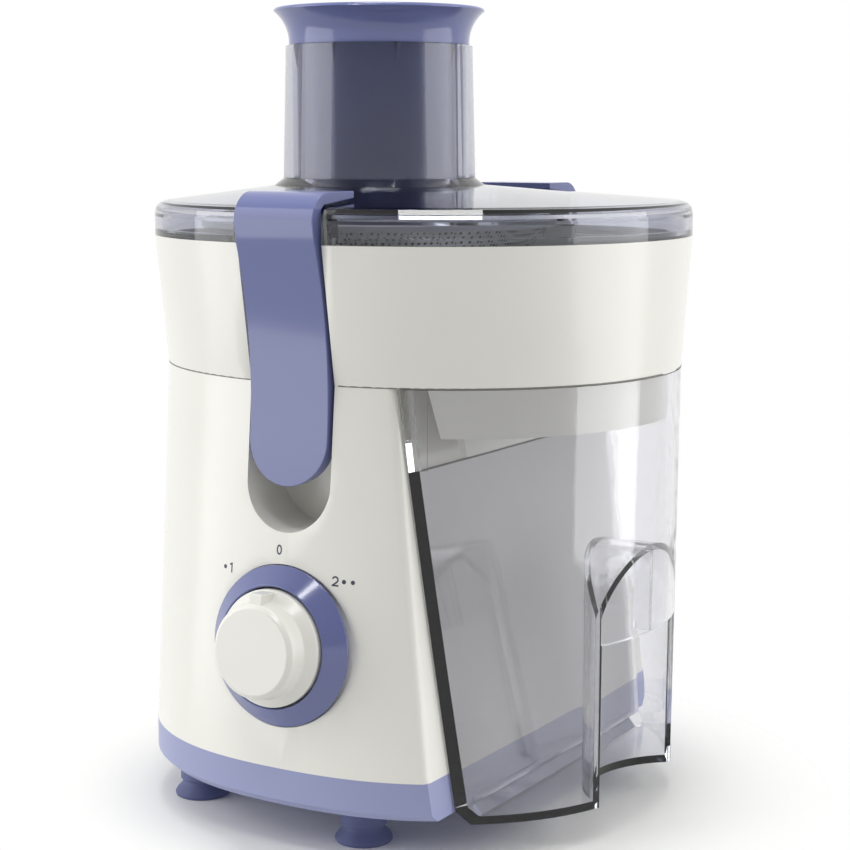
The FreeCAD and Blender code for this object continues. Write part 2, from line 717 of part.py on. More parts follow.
def line(start, end):
    return Part.LineSegment(start, end).toShape()


def lid_surface_z(y):
    """Height of the lid's slope on the front of the plane X = 0."""
    run = float(LID_HALF_Y - s.lid_edge - s.tube_root_radius - s.tube_fillet)
    inward = float(LID_HALF_Y - s.lid_edge) - abs(y)
    return float(LID_SHOULDER) + float(s.lid_rise) * inward / run


def clamp_shape():
    """Front clamp: a bowed lever in the slot, bent over the lid as a hook, with a boss for its pin."""
    def at(y, z):
        return Vector(0, y, float(z))

    thick = float(s.clamp_thick)
    proud = float(s.clamp_proud)
    tail = BOWL_SEAT - s.clamp_tail
    crown = float(LID_SHOULDER + s.clamp_top)
    bend = float(s.clamp_bend)
    tail_y = -body_half_y(tail) - proud
    waist_y = -body_half_y(BOWL_SEAT) - proud
    seat_y = -bowl_half_y(LID_SEAT) - proud
    bend_y = -bowl_half_y(crown - bend) - proud
    corner = bend - bend / math.sqrt(2)
    inner_bend = float(s.slot_depth - s.hook_gap) + proud - thick
    tip_y = bend_y + float(s.hook_reach)
    tip_z = lid_surface_z(tip_y) + float(s.hook_gap)
    under_y = bend_y + thick + inner_bend
    under_z = lid_surface_z(under_y) + float(s.hook_gap)
    outside = [
        arc(at(tail_y, tail), at(waist_y, BOWL_SEAT), at(seat_y, LID_SEAT)),
        line(at(seat_y, LID_SEAT), at(bend_y, crown - bend)),
        arc(at(bend_y, crown - bend), at(bend_y + corner, crown - corner), at(bend_y + bend, crown)),
        line(at(bend_y + bend, crown), at(tip_y, crown)),
        line(at(tip_y, crown), at(tip_y, tip_z)),
    ]
    inside = [
        line(at(tip_y, tip_z), at(under_y, under_z)),
        line(at(under_y, under_z), at(bend_y + thick, under_z - inner_bend)),
        line(at(bend_y + thick, under_z - inner_bend), at(seat_y + thick, LID_SEAT)),
        arc(at(seat_y + thick, LID_SEAT), at(waist_y + thick, BOWL_SEAT), at(tail_y + thick, tail)),
        line(at(tail_y + thick, tail), at(tail_y, tail)),
    ]
    half = float(s.clamp_width) / 2
    face = Part.Face(Part.Wire(outside + inside))
    lever = face.extrude(Vector(2 * half, 0, 0))
    lever.translate(Vector(-half, 0, 0))
    middle = float(tail) + half
    front_view = Part.makeBox(2 * half, 2 * PANEL_REACH, crown - middle + OVERCUT,
                             Vector(-half, -PANEL_REACH, middle))
    round_end = Part.makeCylinder(half, 2 * PANEL_REACH, Vector(0, -PANEL_REACH, middle), Vector(0, 1, 0))
    lever = lever.common(front_view.fuse(round_end))
    place = pivot_place()
    boss_half = float(s.pivot_boss_width) / 2
    boss = Part.makeCylinder(float(s.pivot_boss_radius), 2 * boss_half, place - Vector(boss_half, 0, 0),
                             Vector(1, 0, 0))
    web_depth = float(s.pivot_inset) + proud - thick / 2
    web_corner = Vector(-boss_half, place.y - web_depth, place.z - float(s.pivot_boss_radius))
    web = Part.makeBox(2 * boss_half, web_depth, 2 * float(s.pivot_boss_radius), web_corner)
    bore = clamp_pin_shape(s.pivot_pin_radius + s.pin_clearance)
    return lever.fuse(boss.fuse(web)).cut(bore)


def make_clamps():
    front = clamp_shape()
    keep_shape("front_clamp", front)
    keep_shape("rear_clamp", mirrored_y(front))


# Dial
def make_dial():
    seat, rotation, normal = dial_frame()
    lip = s.white_wall
    bezel = turned("knob_bezel", [
        (s.bezel_hole, ZERO),
        (s.bezel_radius, ZERO),
        (s.bezel_radius, s.bezel_thick - s.seat_gap),
        (s.bezel_radius - s.seat_gap * 2, s.bezel_thick),
        (s.bezel_radius - lip / 2, s.bezel_thick),
        (s.bezel_hole + s.seat_gap, s.bezel_thick - lip / 2),
        (s.bezel_hole, s.bezel_thick - lip),
    ])
    keep_turned("knob_bezel", bezel, seat, rotation)
    socket = s.switch_shaft_radius + s.pin_clearance
    knob = turned("control_knob", [
        (ZERO, s.knob_flange),
        (socket, s.knob_flange),
        (socket, s.knob_lift),
        (s.knob_radius, s.knob_lift),
        (s.knob_radius, s.knob_flange - s.seat_gap * 2),
        (s.knob_radius - s.seat_gap * 2, s.knob_flange),
        (s.knob_boss, s.knob_flange + s.knob_lift),
        (s.knob_face + s.knob_lift, s.knob_height - s.knob_lift * 2),
        (s.knob_face - s.knob_lift, s.knob_height),
        (ZERO, s.knob_height),
    ])
    pointer = add_pad(knob, rectangle(-s.pointer_width / 2, s.knob_boss / 2, s.pointer_width / 2,
                                      s.knob_radius - s.seat_gap * 2),
                      s.knob_height - s.knob_lift * 2, s.knob_lift)
    knob.Tip = pointer
    keep_turned("control_knob", knob, seat, rotation)
    shaft = doc.addObject("Part::Cylinder", "switch_shaft")
    shaft.setExpression("Radius", s.switch_shaft_radius.text)
    shaft.setExpression("Height", (s.knob_flange + s.white_wall * 2).text)
    keep_turned("switch_shaft", shaft, seat - normal * float(s.white_wall * 2), rotation)
    half = s.switch_size / 2
    block = box("switch_block", s.switch_size, s.switch_size, s.switch_depth,
                (-half, -half, -(s.white_wall + s.switch_depth)))
    bush = cylinder("switch_bush", s.switch_bush, s.white_wall, (ZERO, ZERO, -s.white_wall))
    bore = cylinder("switch_bore", s.switch_shaft_radius + s.pin_clearance, s.white_wall * 3,
                    (ZERO, ZERO, -s.white_wall * 2))
    switch = cut("rotary_switch", fuse("switch_body", [block, bush]), [bore])
    keep_turned("rotary_switch", switch, seat, rotation)


# Lid and pusher
def rounded_levels(seat, shoulder, half_x, half_y, edge):
    """Levels of a rim: upright from its seat, then a quarter round in to the shoulder."""
    levels = [(seat, half_x, half_y, s.waist_power)]
    for turn in EDGE_TURNS:
        rise = edge * math.sin(math.radians(turn)) - edge
        inset = edge - edge * math.cos(math.radians(turn))
        levels.append((float(shoulder) + rise, half_x - inset, half_y - inset, s.waist_power))
    return levels


def make_lid():
    wall = float(s.clear_wall)
    edge = float(s.lid_edge)
    half_x, half_y = float(LID_HALF_X), float(LID_HALF_Y)
    root = float(s.tube_root_radius + s.tube_fillet)
    spindle = float(s.spindle_x)
    outer = stacked(rounded_levels(LID_SEAT, LID_SHOULDER, half_x, half_y, edge)
                    + [(TUBE_ROOT, root, root, 2, spindle)])
    inner = stacked(rounded_levels(LID_SEAT - wall, LID_SHOULDER - wall, half_x - wall, half_y - wall,
                                   edge - wall / 2)
                    + [(TUBE_ROOT - wall, root, root, 2, spindle)])
    shell = outer.cut(both_slots(0)).cut(inner.cut(both_slots(wall)))
    fit = float(s.white_wall + s.seat_gap)
    lip_foot, lip_top = LID_SEAT - s.lid_lip, LID_SEAT + s.clear_wall
    lip_outer = stacked([
        (lip_foot, *bowl_halves(lip_foot, fit), s.waist_power),
        (LID_SEAT, *bowl_halves(LID_SEAT, fit), s.waist_power),
    ]).fuse(stacked([
        (LID_SEAT, half_x - wall / 2, half_y - wall / 2, s.waist_power),
        (lip_top, half_x - wall / 2, half_y - wall / 2, s.waist_power),
    ]))
    lip_inner = stacked([
        (lip_foot - OVERCUT, *bowl_halves(lip_foot - OVERCUT, fit + wall), s.waist_power),
        (lip_top + OVERCUT, *bowl_halves(lip_top + OVERCUT, fit + wall), s.waist_power),
    ])
    lip = lip_outer.cut(lip_inner).cut(both_slots(fit))
    low, high = float(LID_SEAT - s.tube_drop), float(TUBE_TOP)
    bore = float(s.tube_bore)
    surface = float(TUBE_ROOT)
    shell = shell.cut(upright(bore + wall / 2, low, high, spindle))
    profile = [
        (bore, low),
        (bore + wall, low),
        (bore + wall, surface - wall * 2),
        (root + wall, surface - wall / 2),
        (float(s.tube_root_radius), surface + float(s.tube_fillet)),
        (float(s.tube_top_radius), high),
        (bore, high),
    ]
    corners = [Vector(radius + spindle, 0, z) for radius, z in profile]
    face = Part.Face(Part.makePolygon(corners + corners[:1]))
    tube = face.revolve(Vector(spindle, 0, 0), Vector(0, 0, 1), 360)
    keep_shape("lid", shell.fuse(tube).fuse(lip))


def make_pusher():
    """A hollow cup with a trumpet flange, turned from one profile, and guide ribs under the flange."""
    wall = float(s.pusher_wall)
    radius, neck, rim = float(s.pusher_radius), float(s.flange_neck), float(s.flange_rim)
    seat = float(TUBE_TOP + s.seat_gap)
    foot = float(TUBE_TOP - s.pusher_length)
    top = seat + float(s.flange_height)
    lip = wall / 2

    def at(r, z):
        return Vector(r, 0, z)

    def flare(start, end):
        across = (end.x - start.x) * float(s.flare_across)
        up = (end.z - start.z) * float(s.flare_up)
        return arc(start, at(start.x + across, start.z + up), end)

    neck_low, rim_low = at(neck, seat), at(rim, top - lip)
    mouth, throat = at(rim - wall, top), at(radius - wall, seat)
    path = [
        line(at(0, foot), at(radius - lip, foot)),
        line(at(radius - lip, foot), at(radius, foot + lip)),
        line(at(radius, foot + lip), at(radius, seat)),
        line(at(radius, seat), neck_low),
        flare(neck_low, rim_low),
        arc(rim_low, at(rim - lip / 3, top - lip / 3), at(rim - lip, top)),
        line(at(rim - lip, top), mouth),
        flare(throat, mouth),
        line(throat, at(radius - wall, foot + wall)),
        line(at(radius - wall, foot + wall), at(0, foot + wall)),
        line(at(0, foot + wall), at(0, foot)),
    ]
    cup = Part.Face(Part.Wire(path)).revolve(Vector(0, 0, 0), Vector(0, 0, 1), 360)
    root = radius - wall / 2
    width = float(s.rib_width)
    corners = [at(root, seat), at(radius + float(s.rib_reach), seat), at(root, seat - float(s.rib_length))]
    wedge = Part.Face(Part.makePolygon(corners + corners[:1])).extrude(Vector(0, width, 0))
    wedge.translate(Vector(0, -width / 2, 0))
    count = int(float(s.rib_count))
    for index in range(count):
        rib = wedge.copy()
        rib.rotate(Vector(0, 0, 0), Vector(0, 0, 1), 360 * index / count)
        cup = cup.fuse(rib)
    item = doc.addObject("Part::Feature", "pusher")
    item.Shape = cup.removeSplitter()
    keep("pusher", item, x=s.spindle_x)


# Juice collector
def chute_x(z):
    """The flat wall of the pulp chute leans away from the housing on its way down."""
    return float(s.chute_top_x) + float(s.chute_lean) * (float(BOWL_SEAT) - float(z)) / float(s.chute_depth)


def beside_chute(low, high, shift):
    points = [(chute_x(low) + shift, low), (PANEL_REACH, low), (PANEL_REACH, high),
              (chute_x(high) + shift, high)]
    return prism_y(points, PANEL_REACH)


def make_collector():
    wall = float(s.white_wall)
    floor_top = BOWL_SEAT + s.bowl_floor
    waist = (s.waist_half_x, s.waist_half_y)
    outer = stacked([
        (BOWL_SEAT, *waist, s.waist_power),
        (LID_SEAT, LID_HALF_X, LID_HALF_Y, s.waist_power),
    ]).cut(both_slots(0))
    inner = stacked([
        (floor_top, *bowl_halves(floor_top, wall), s.waist_power),
        (LID_SEAT + OVERCUT, *bowl_halves(LID_SEAT + OVERCUT, wall), s.waist_power),
    ]).cut(both_slots(wall))
    bowl = outer.cut(inner)
    spindle = s.spindle_x
    trough_top = floor_top + s.trough_height
    trough = upright(s.trough_radius + s.bowl_floor, BOWL_SEAT, trough_top, spindle)
    collar_top = floor_top + s.collar_height
    collar = upright(s.collar_radius + s.bowl_floor, BOWL_SEAT, collar_top, spindle)
    bowl = bowl.fuse(trough.cut(upright(s.trough_radius, floor_top, trough_top + OVERCUT, spindle)))
    bowl = bowl.fuse(collar).cut(upright(s.collar_radius, BOWL_SEAT - OVERCUT, collar_top + OVERCUT, spindle))
    low = BOWL_SEAT - s.chute_depth
    inset = float(s.chute_inset)
    bottom, top = low - OVERCUT, floor_top + OVERCUT
    skirt = stacked([
        (low, s.waist_half_x - inset, s.waist_half_y - inset, s.waist_power),
        (floor_top, s.waist_half_x - inset, s.waist_half_y - inset, s.waist_power),
    ]).common(beside_chute(low, floor_top, 0))
    opening = stacked([
        (bottom, s.waist_half_x - inset - wall, s.waist_half_y - inset - wall, s.waist_power),
        (top, s.waist_half_x - inset - wall, s.waist_half_y - inset - wall, s.waist_power),
    ]).common(beside_chute(bottom, top, wall))
    bowl = bowl.fuse(skirt).cut(opening)
    baffle_low = BOWL_SEAT - s.baffle_depth
    baffle = prism_y(
        [(chute_x(BOWL_SEAT), BOWL_SEAT), (chute_x(BOWL_SEAT) + wall, BOWL_SEAT),
         (chute_x(baffle_low) + wall, baffle_low), (chute_x(baffle_low), baffle_low)],
        float(s.baffle_half))
    bowl = bowl.fuse(baffle)
    turn = math.radians(float(s.spout_turn))
    along = Vector(math.cos(turn), math.sin(turn), 0)
    axis = Vector(float(spindle), 0, float(BOWL_SEAT + s.spout_height))
    start = float(s.trough_radius)
    reach = float(s.spout_reach) - start
    spout = Part.makeCylinder(float(s.spout_radius), reach, axis + along * start, along)
    spout = spout.cut(upright(s.trough_radius, BOWL_SEAT, LID_SEAT, spindle))
    bore = Part.makeCylinder(float(s.spout_bore), reach + 2 * wall, axis + along * (start - wall), along)
    keep_shape("juice_collector", bowl.fuse(spout).cut(bore))


def make_seals():
    lower = BOWL_SEAT + s.bowl_floor
    bore, outside = s.coupling_radius + s.seat_gap * 2, s.collar_radius - s.pin_clearance
    seal = turned("collector_seal", ring_profile(bore, outside, lower, lower + s.bowl_floor))
    keep("collector_seal", seal, x=s.spindle_x)
    ring = turned("shaft_seal", [
        (s.shaft_radius + s.seat_gap, DECK_UNDER - s.bowl_floor),
        (s.deck_hole + s.white_wall, DECK_UNDER - s.bowl_floor),
        (s.deck_hole + s.white_wall, DECK_UNDER),
        (s.deck_hole, DECK_UNDER),
        (s.deck_hole, BOWL_SEAT),
        (s.shaft_radius + s.seat_gap, BOWL_SEAT),
    ])
    keep("shaft_seal", ring, x=s.spindle_x)


# Pulp container
def grip_arch(grow):
    """Arch shaped prism along X, open at the bottom."""
    half = float(s.grip_half) + grow
    low = float(s.container_floor_z) - OVERCUT
    spring = float(s.grip_spring)
    block = Part.makeBox(PANEL_REACH, 2 * half, spring - low, Vector(0, -half, low))
    return block.fuse(Part.makeCylinder(half, PANEL_REACH, Vector(0, 0, spring), Vector(1, 0, 0)))


def grip_pocket(grow):
    middle = s.container_half_x - s.grip_depth + s.grip_scoop
    scoop = upright(s.grip_scoop + grow, s.container_floor_z - OVERCUT, BOWL_SEAT, middle)
    return grip_arch(grow).common(scoop)


def lower_corner(grow):
    """Wedge that takes the lower inner edge off the container at 45 degrees."""
    low = float(s.container_floor_z)
    x = side_x(low) + float(s.container_gap)
    size = float(s.container_chamfer) + grow * math.sqrt(2)
    corners = [(x - size, low - size), (x + 2 * size, low - size), (x - size, low + 2 * size)]
    return prism_y(corners, PANEL_REACH)


def container_levels(low, high, inset):
    return [
        (low, s.container_half_x - inset, s.container_half_y - inset, s.container_power),
        (high, s.waist_half_x - inset, s.waist_half_y - inset, s.waist_power),
    ]


def make_container():
    wall = float(s.clear_wall)
    gap = float(s.container_gap)
    low, high = s.container_floor_z, BOWL_SEAT - s.seat_gap
    outer = stacked(container_levels(low, high, 0)).common(beside_side(low, high, gap, PANEL_REACH))
    outer = outer.cut(lower_corner(0))
    inner = stacked(container_levels(low + wall, high + OVERCUT, wall))
    inner = inner.common(beside_side(low, high + OVERCUT, gap + wall, PANEL_REACH)).cut(lower_corner(wall))
    skin = stacked(container_levels(low, high, 0)).cut(stacked(container_levels(low, high, wall)))
    hood_low = float(s.hood_edge)
    above = Part.makeBox(PANEL_REACH, 2 * PANEL_REACH, PANEL_REACH, Vector(0, -PANEL_REACH, hood_low))
    hood = skin.common(grip_arch(wall / 2)).common(above)
    rib_half = float(s.hood_rib) / 2
    rib = Part.makeBox(PANEL_REACH, 2 * rib_half, PANEL_REACH, Vector(0, -rib_half, hood_low))
    rib_zone = grip_pocket(wall / 2).common(stacked(container_levels(low, high, wall / 2)))
    rib_back = float(s.container_half_x) - 3 * wall
    rib = rib.common(rib_zone).cut(Part.makeBox(rib_back, 2 * PANEL_REACH, 2 * PANEL_REACH,
                                                Vector(0, -PANEL_REACH, 0)))
    body = outer.cut(grip_pocket(0)).cut(inner.cut(grip_pocket(wall))).fuse([hood, rib])
    dip_low = float(BOWL_SEAT - s.container_dip)
    post_y = float(s.container_post_y)
    dip = Part.makeBox(side_x(dip_low) + gap + 2 * wall, 2 * post_y, PANEL_REACH, Vector(0, -post_y, dip_low))
    keep_shape("pulp_container", body.cut(dip))


# Motor
def make_motor():
    spindle = s.spindle_x
    dampers = []
    for x in (-s.damper_offset, s.damper_offset):
        for y in (-s.damper_offset, s.damper_offset):
            dampers.append(cylinder("damper", s.damper_radius, s.damper_height, (x, y, BRACKET_TOP)))
    keep("motor_dampers", group("motor_dampers", dampers), x=spindle)
    half = s.bracket_half
    for name, plate_low, leg_low, leg_length in (
        ("upper_bracket", BRACKET_TOP - s.bracket_thick, STATOR_TOP, s.upper_leg),
        ("lower_bracket", LOWER_BRACKET - s.bracket_thick, LOWER_BRACKET, s.lower_leg),
    ):
        plate = box(f"{name}_plate", half * 2, half * 2, s.bracket_thick, (-half, -half, plate_low))
        legs = [cylinder(f"{name}_leg", s.leg_radius, leg_length, (x, ZERO, leg_low))
                for x in (-s.leg_offset, s.leg_offset)]
        bore = cylinder(f"{name}_bore", s.bearing_radius + s.pin_clearance, s.bracket_thick,
                        (ZERO, ZERO, plate_low))
        keep(name, cut(name, fuse(f"{name}_body", [plate] + legs), [bore]), x=spindle)
    for name, top in (("upper_bearing", BRACKET_TOP), ("lower_bearing", LOWER_BRACKET)):
        bearing = turned(name, ring_profile(s.shaft_radius + s.pin_clearance, s.bearing_radius,
                                            top - s.bearing_height, top))
        keep(name, bearing, x=spindle)
    core = turned("stator_core", ring_profile(s.stator_bore, s.stator_radius, STATOR_FOOT, STATOR_TOP))
    keep("stator_core", core, x=spindle)
    make_coils()
    brush_x = s.commutator_radius + s.brush_gap
    brush_half = s.brush_width / 2
    brush_height = s.commutator_height + s.white_wall
    brushes = [box("brush", s.brush_length, s.brush_width, brush_height, (x, -brush_half, LOWER_BRACKET))
               for x in (brush_x, -(brush_x + s.brush_length))]
    keep("brush_holders", group("brush_holders", brushes), x=spindle)


def make_coils():
    """Field coils: two saddles, seen as an arc of winding beyond each end of the stator."""
    inner, outer = float(s.stator_bore), float(s.stator_radius - s.white_wall)
    height = float(s.coil_height)
    solids = []
    for low in (float(STATOR_TOP), float(STATOR_FOOT) - height):
        for middle in (90, 270):
            ring = Part.makeCylinder(outer, height, Vector(0, 0, low), Vector(0, 0, 1), float(s.coil_span))
            ring = ring.cut(Part.makeCylinder(inner, height, Vector(0, 0, low)))
            ring.rotate(Vector(0, 0, 0), Vector(0, 0, 1), middle - float(s.coil_span) / 2)
            solids.append(ring)
    item = doc.addObject("Part::Feature", "field_coils")
    item.Shape = Part.makeCompound(solids)
    keep("field_coils", item, x=s.spindle_x)


def make_drive():
    spindle = s.spindle_x
    coupling_foot = BOWL_SEAT + s.coupling_rise
    coupling_top = coupling_foot + s.coupling_height
    shaft = cylinder("motor_shaft", s.shaft_radius, coupling_top - s.white_wall - s.shaft_foot,
                     (ZERO, ZERO, ZERO))
    keep("motor_shaft", shaft, x=spindle, z=s.shaft_foot)
    on_shaft = s.shaft_radius + s.pin_clearance
    middle = STATOR_FOOT + s.stator_height / 2
    keep("rotor", turned("rotor", ring_profile(on_shaft, s.rotor_radius, middle - s.rotor_height / 2,
                                               middle + s.rotor_height / 2)), x=spindle)
    commutator_low = LOWER_BRACKET + s.white_wall
    keep("commutator", turned("commutator", ring_profile(on_shaft, s.commutator_radius, commutator_low,
                                                         commutator_low + s.commutator_height)), x=spindle)
    fan_low = s.shaft_foot + s.white_wall
    hub = s.fan_hub
    fan = turned("cooling_fan", [
        (on_shaft, fan_low),
        (s.fan_radius, fan_low),
        (s.fan_radius, fan_low + s.fan_disc),
        (hub, fan_low + s.fan_disc),
        (hub, fan_low + s.fan_height),
        (on_shaft, fan_low + s.fan_height),
    ])
    blade = add_pad(fan, rectangle(hub - s.fan_disc, -s.blade_width / 2, s.fan_radius, s.blade_width / 2),
                    s.fan_height, fan_low)
    around_axis(fan, blade, s.fan_blades)
    keep("cooling_fan", fan, x=spindle)
    coupling = turned("drive_coupling", [
        (ZERO, coupling_top - s.white_wall),
        (on_shaft, coupling_top - s.white_wall),
        (on_shaft, coupling_foot),
        (s.coupling_radius, coupling_foot),
        (s.coupling_radius, coupling_top - s.seat_gap * 2),
        (s.coupling_radius - s.seat_gap * 2, coupling_top),
        (ZERO, coupling_top),
    ])
    dog = add_pad(coupling, rectangle(s.shaft_radius, -s.dog_width / 2, s.coupling_radius - s.dog_height,
                                      s.dog_width / 2), s.dog_height, coupling_top)
    around_axis(coupling, dog, s.coupling_teeth)
    keep("drive_coupling", coupling, x=spindle)


def make_filter():
    spindle = s.spindle_x
    disc_under = HUB_TOP - s.filter_disc
    edge = s.filter_foot + s.filter_wall + s.white_wall
    socket = s.coupling_radius + s.pin_clearance
    keep("filter_base", turned("filter_base", [
        (ZERO, disc_under),
        (socket, disc_under),
        (socket, HUB_FOOT),
        (s.hub_radius, HUB_FOOT),
        (s.hub_radius, disc_under),
        (edge, disc_under),
        (edge, HUB_TOP),
        (ZERO, HUB_TOP),
    ]), x=spindle)
    grater = turned("grater_disc", rectangle(ZERO, HUB_TOP, s.grater_radius, GRATER_TOP))
    for circle in range(1, TOOTH_CIRCLES + 1):
        middle = s.grater_radius * circle / TOOTH_CIRCLES - s.tooth_length
        tooth = add_pad(grater, [
            (middle - s.tooth_width / 2, -s.tooth_length / 2),
            (middle + s.tooth_width / 2, ZERO),
            (middle - s.tooth_width / 2, s.tooth_length / 2),
        ], s.tooth_height, GRATER_TOP)
        around_axis(grater, tooth, s.tooth_count)
    keep("grater_disc", grater, x=spindle)
    wall_top = HUB_TOP + s.filter_height
    keep("filter_mesh", turned("filter_mesh", [
        (s.filter_foot, HUB_TOP),
        (s.filter_foot + s.filter_wall, HUB_TOP),
        (s.filter_top + s.filter_wall, wall_top),
        (s.filter_top, wall_top),
    ]), x=spindle)
    rim_inner = s.filter_top - s.filter_wall
    rim_outer = s.filter_top + s.rim_width
    keep("filter_rim", turned("filter_rim", [
        (rim_inner, wall_top),
        (rim_outer, wall_top),
        (rim_outer, wall_top + s.rim_height / 2),
        (rim_inner + s.filter_wall, wall_top + s.rim_height),
        (rim_inner, wall_top + s.rim_height),
    ]), x=spindle)


for make in (make_feet, make_base, make_base_screws, make_gland, make_housing, make_clamp_pins, make_clamps,
             make_dial, make_lid, make_pusher, make_collector, make_seals, make_container, make_motor,
             make_drive, make_filter):
    make()

doc.recompute()
failed = [item.Name for item in doc.Objects if "Invalid" in item.State or "Error" in item.State]
failed += [item.Label for item in nodes if item.Shape.isNull() or not item.Shape.isValid()]
if failed:
    raise RuntimeError(f"these objects did not build: {failed}")
os.makedirs("parts", exist_ok=True)
for item in nodes:
    item.Shape.exportStep(f"parts/{item.Label}.step")
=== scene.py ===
"""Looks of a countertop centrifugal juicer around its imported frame, laid out as an add-on.

Lengths are metres in the frame's axes: +Z up, -Y towards the control knob, +X towards the pulp container.
"""

import json
import math

import bmesh
import bpy
import numpy as np
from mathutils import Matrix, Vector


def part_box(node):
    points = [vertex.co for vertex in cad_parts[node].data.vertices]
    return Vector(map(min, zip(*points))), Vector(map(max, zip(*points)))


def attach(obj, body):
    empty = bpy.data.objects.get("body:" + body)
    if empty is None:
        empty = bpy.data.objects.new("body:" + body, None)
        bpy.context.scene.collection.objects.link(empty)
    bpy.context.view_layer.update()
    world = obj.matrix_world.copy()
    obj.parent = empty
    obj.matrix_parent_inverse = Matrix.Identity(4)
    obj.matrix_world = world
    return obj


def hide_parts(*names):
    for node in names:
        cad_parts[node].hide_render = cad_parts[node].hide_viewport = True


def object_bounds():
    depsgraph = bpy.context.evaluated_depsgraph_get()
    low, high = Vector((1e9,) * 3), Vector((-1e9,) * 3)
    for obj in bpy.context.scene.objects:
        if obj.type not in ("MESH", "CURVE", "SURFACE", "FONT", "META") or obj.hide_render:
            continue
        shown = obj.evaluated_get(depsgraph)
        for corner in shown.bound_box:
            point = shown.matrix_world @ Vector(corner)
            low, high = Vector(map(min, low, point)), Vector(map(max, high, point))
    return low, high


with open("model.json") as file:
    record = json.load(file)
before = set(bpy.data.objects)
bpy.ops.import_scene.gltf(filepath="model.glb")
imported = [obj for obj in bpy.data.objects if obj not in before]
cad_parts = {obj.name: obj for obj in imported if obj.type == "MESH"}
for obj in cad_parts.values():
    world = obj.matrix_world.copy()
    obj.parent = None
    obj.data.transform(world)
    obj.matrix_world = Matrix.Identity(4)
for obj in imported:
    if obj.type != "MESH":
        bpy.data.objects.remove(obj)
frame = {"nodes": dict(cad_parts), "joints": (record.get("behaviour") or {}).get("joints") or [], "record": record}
CAD_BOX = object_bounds()

bl_info = {
    "name": "Centrifugal juicer",
    "version": (1, 0, 0),
    "blender": (4, 5, 0),
    "location": "View3D > Sidebar > Juicer",
    "description": "Finishes, dial, feet, printed figures and stage of a countertop centrifugal juicer",
    "category": "Object",
}

MM = 0.001
NODES = frame["nodes"]
SLOT_FINISH = {}
MERGE_DISTANCE = 0.002 * MM  # corners of loose triangles this close become one
FLAT_ANGLE = math.radians(0.2)  # faces this close to level with each other become one
CORNER_ANGLE = math.radians(30)  # edges sharper than this are rounded
BEVEL_STEPS = 3


# Settings
def number_setting(name, description, default):
    """A plain number."""
    return bpy.props.FloatProperty(name=name, description=description, default=default)


def length_setting(name, description, millimetres):
    """A length, given in millimetres."""
    return bpy.props.FloatProperty(
        name=name, description=description, default=millimetres * MM, unit="LENGTH")


def pair_setting(name, description, millimetres):
    """Two lengths on the panel or in the plan, given in millimetres."""
    default = [value * MM for value in millimetres]
    return bpy.props.FloatVectorProperty(
        name=name, description=description, default=default, size=2, unit="LENGTH")


def angle_setting(name, description, degrees):
    """An angle, given in degrees."""
    return bpy.props.FloatProperty(
        name=name, description=description, default=math.radians(degrees), subtype="ANGLE")


def power_setting(name, description, watts):
    """The power of a lamp."""
    return bpy.props.FloatProperty(name=name, description=description, default=watts, unit="POWER")


def colour_setting(name, description, hex_text):
    """A colour as sRGB hex."""
    return bpy.props.StringProperty(name=name, description=description, default=hex_text)


class JuicerView(bpy.types.PropertyGroup):
    """Camera, lamps and floor."""

    camera_place: bpy.props.FloatVectorProperty(
        name="Camera", description="Place of the camera", default=(0.3836, -0.6256, 0.2439), subtype="XYZ")
    camera_pitch: angle_setting("Pitch", "Camera from straight down", 81.737)
    camera_heading: angle_setting("Heading", "Camera turned about the vertical", 31.31)
    lens: number_setting("Lens", "Focal length in millimetres", 83.5)
    side_power: power_setting("Side lights", "Power of each soft light beside the camera", 6.5)
    top_power: power_setting("Top light", "Power of the soft light above", 6.5)
    strip_power: power_setting("Strip light", "Power of the strip above the camera", 2.2)
    world_strength: number_setting("Room light", "Strength of the soft light from all round", 0.58)
    front_strength: number_setting("Front light", "Share of it that comes from above the camera", 0.6)
    mirror_strength: number_setting("Front in gloss", "Share of that in gloss and clear walls", 0.1)
    floor: colour_setting("Floor", "Studio floor", "#F6F6F4")
    floor_half: length_setting("Floor half", "Half width of the floor", 220.0)
    fade_start: length_setting("Fade start", "From the middle to where the floor starts to fade", 70.0)
    fade_end: length_setting("Fade end", "From the middle to where the floor is gone", 200.0)


class JuicerColours(bpy.types.PropertyGroup):
    """Colours of the finishes as sRGB hex, and the tint of the clear ones."""

    white: colour_setting("White", "Housing, collector and knob", "#E9E8E1")
    blue: colour_setting("Blue", "Clamps, ring and pusher", "#6B72A1")
    # Painted light: the same blue as the clamps, made lighter to stand for bounce light from the white table under
    # the base
    base_blue_painted_bounce: colour_setting("Base blue", "Satin base tray", "#9399C0")
    rubber: colour_setting("Rubber", "Feet, gland and dampers", "#5C638C")
    clear: colour_setting("Clear", "Pulp container", "#FBFBFD")
    smoke: colour_setting("Smoke", "Lid and feed tube", "#D4D6DF")
    tint: colour_setting("Tint", "A long way through clear plastic", "#3A4160")
    clear_density: number_setting("Clear density", "Tint in a metre of the container's plastic", 12.0)
    smoke_density: number_setting("Smoke density", "Tint in a metre of the lid's plastic", 26.0)
    # Painted shade: an even dark grey that stands for the shadow of the gap under the collector
    seam: colour_setting("Seam", "Shadow gap under the collector", "#6E6E6A")
    print_ink: colour_setting("Print", "Figures on the panel", "#3A3D4E")
    steel: colour_setting("Steel", "Filter, shaft and screws", "#B9BABC")
    copper: colour_setting("Copper", "Coils and commutator", "#B4714A")
    brass: colour_setting("Brass", "Brush holders", "#C2A35B")
    lamination: colour_setting("Core", "Stator and rotor stacks", "#6B6C70")
    zinc: colour_setting("Zinc", "Motor brackets", "#A9ADB1")
    black: colour_setting("Black", "Switch, fan and coupling", "#26272B")
    grey: colour_setting("Grey", "Plastic of the filter", "#B9BBC0")
    mesh_pitch: length_setting("Mesh pitch", "From hole to hole in the filter, drawn coarse to show", 1.6)


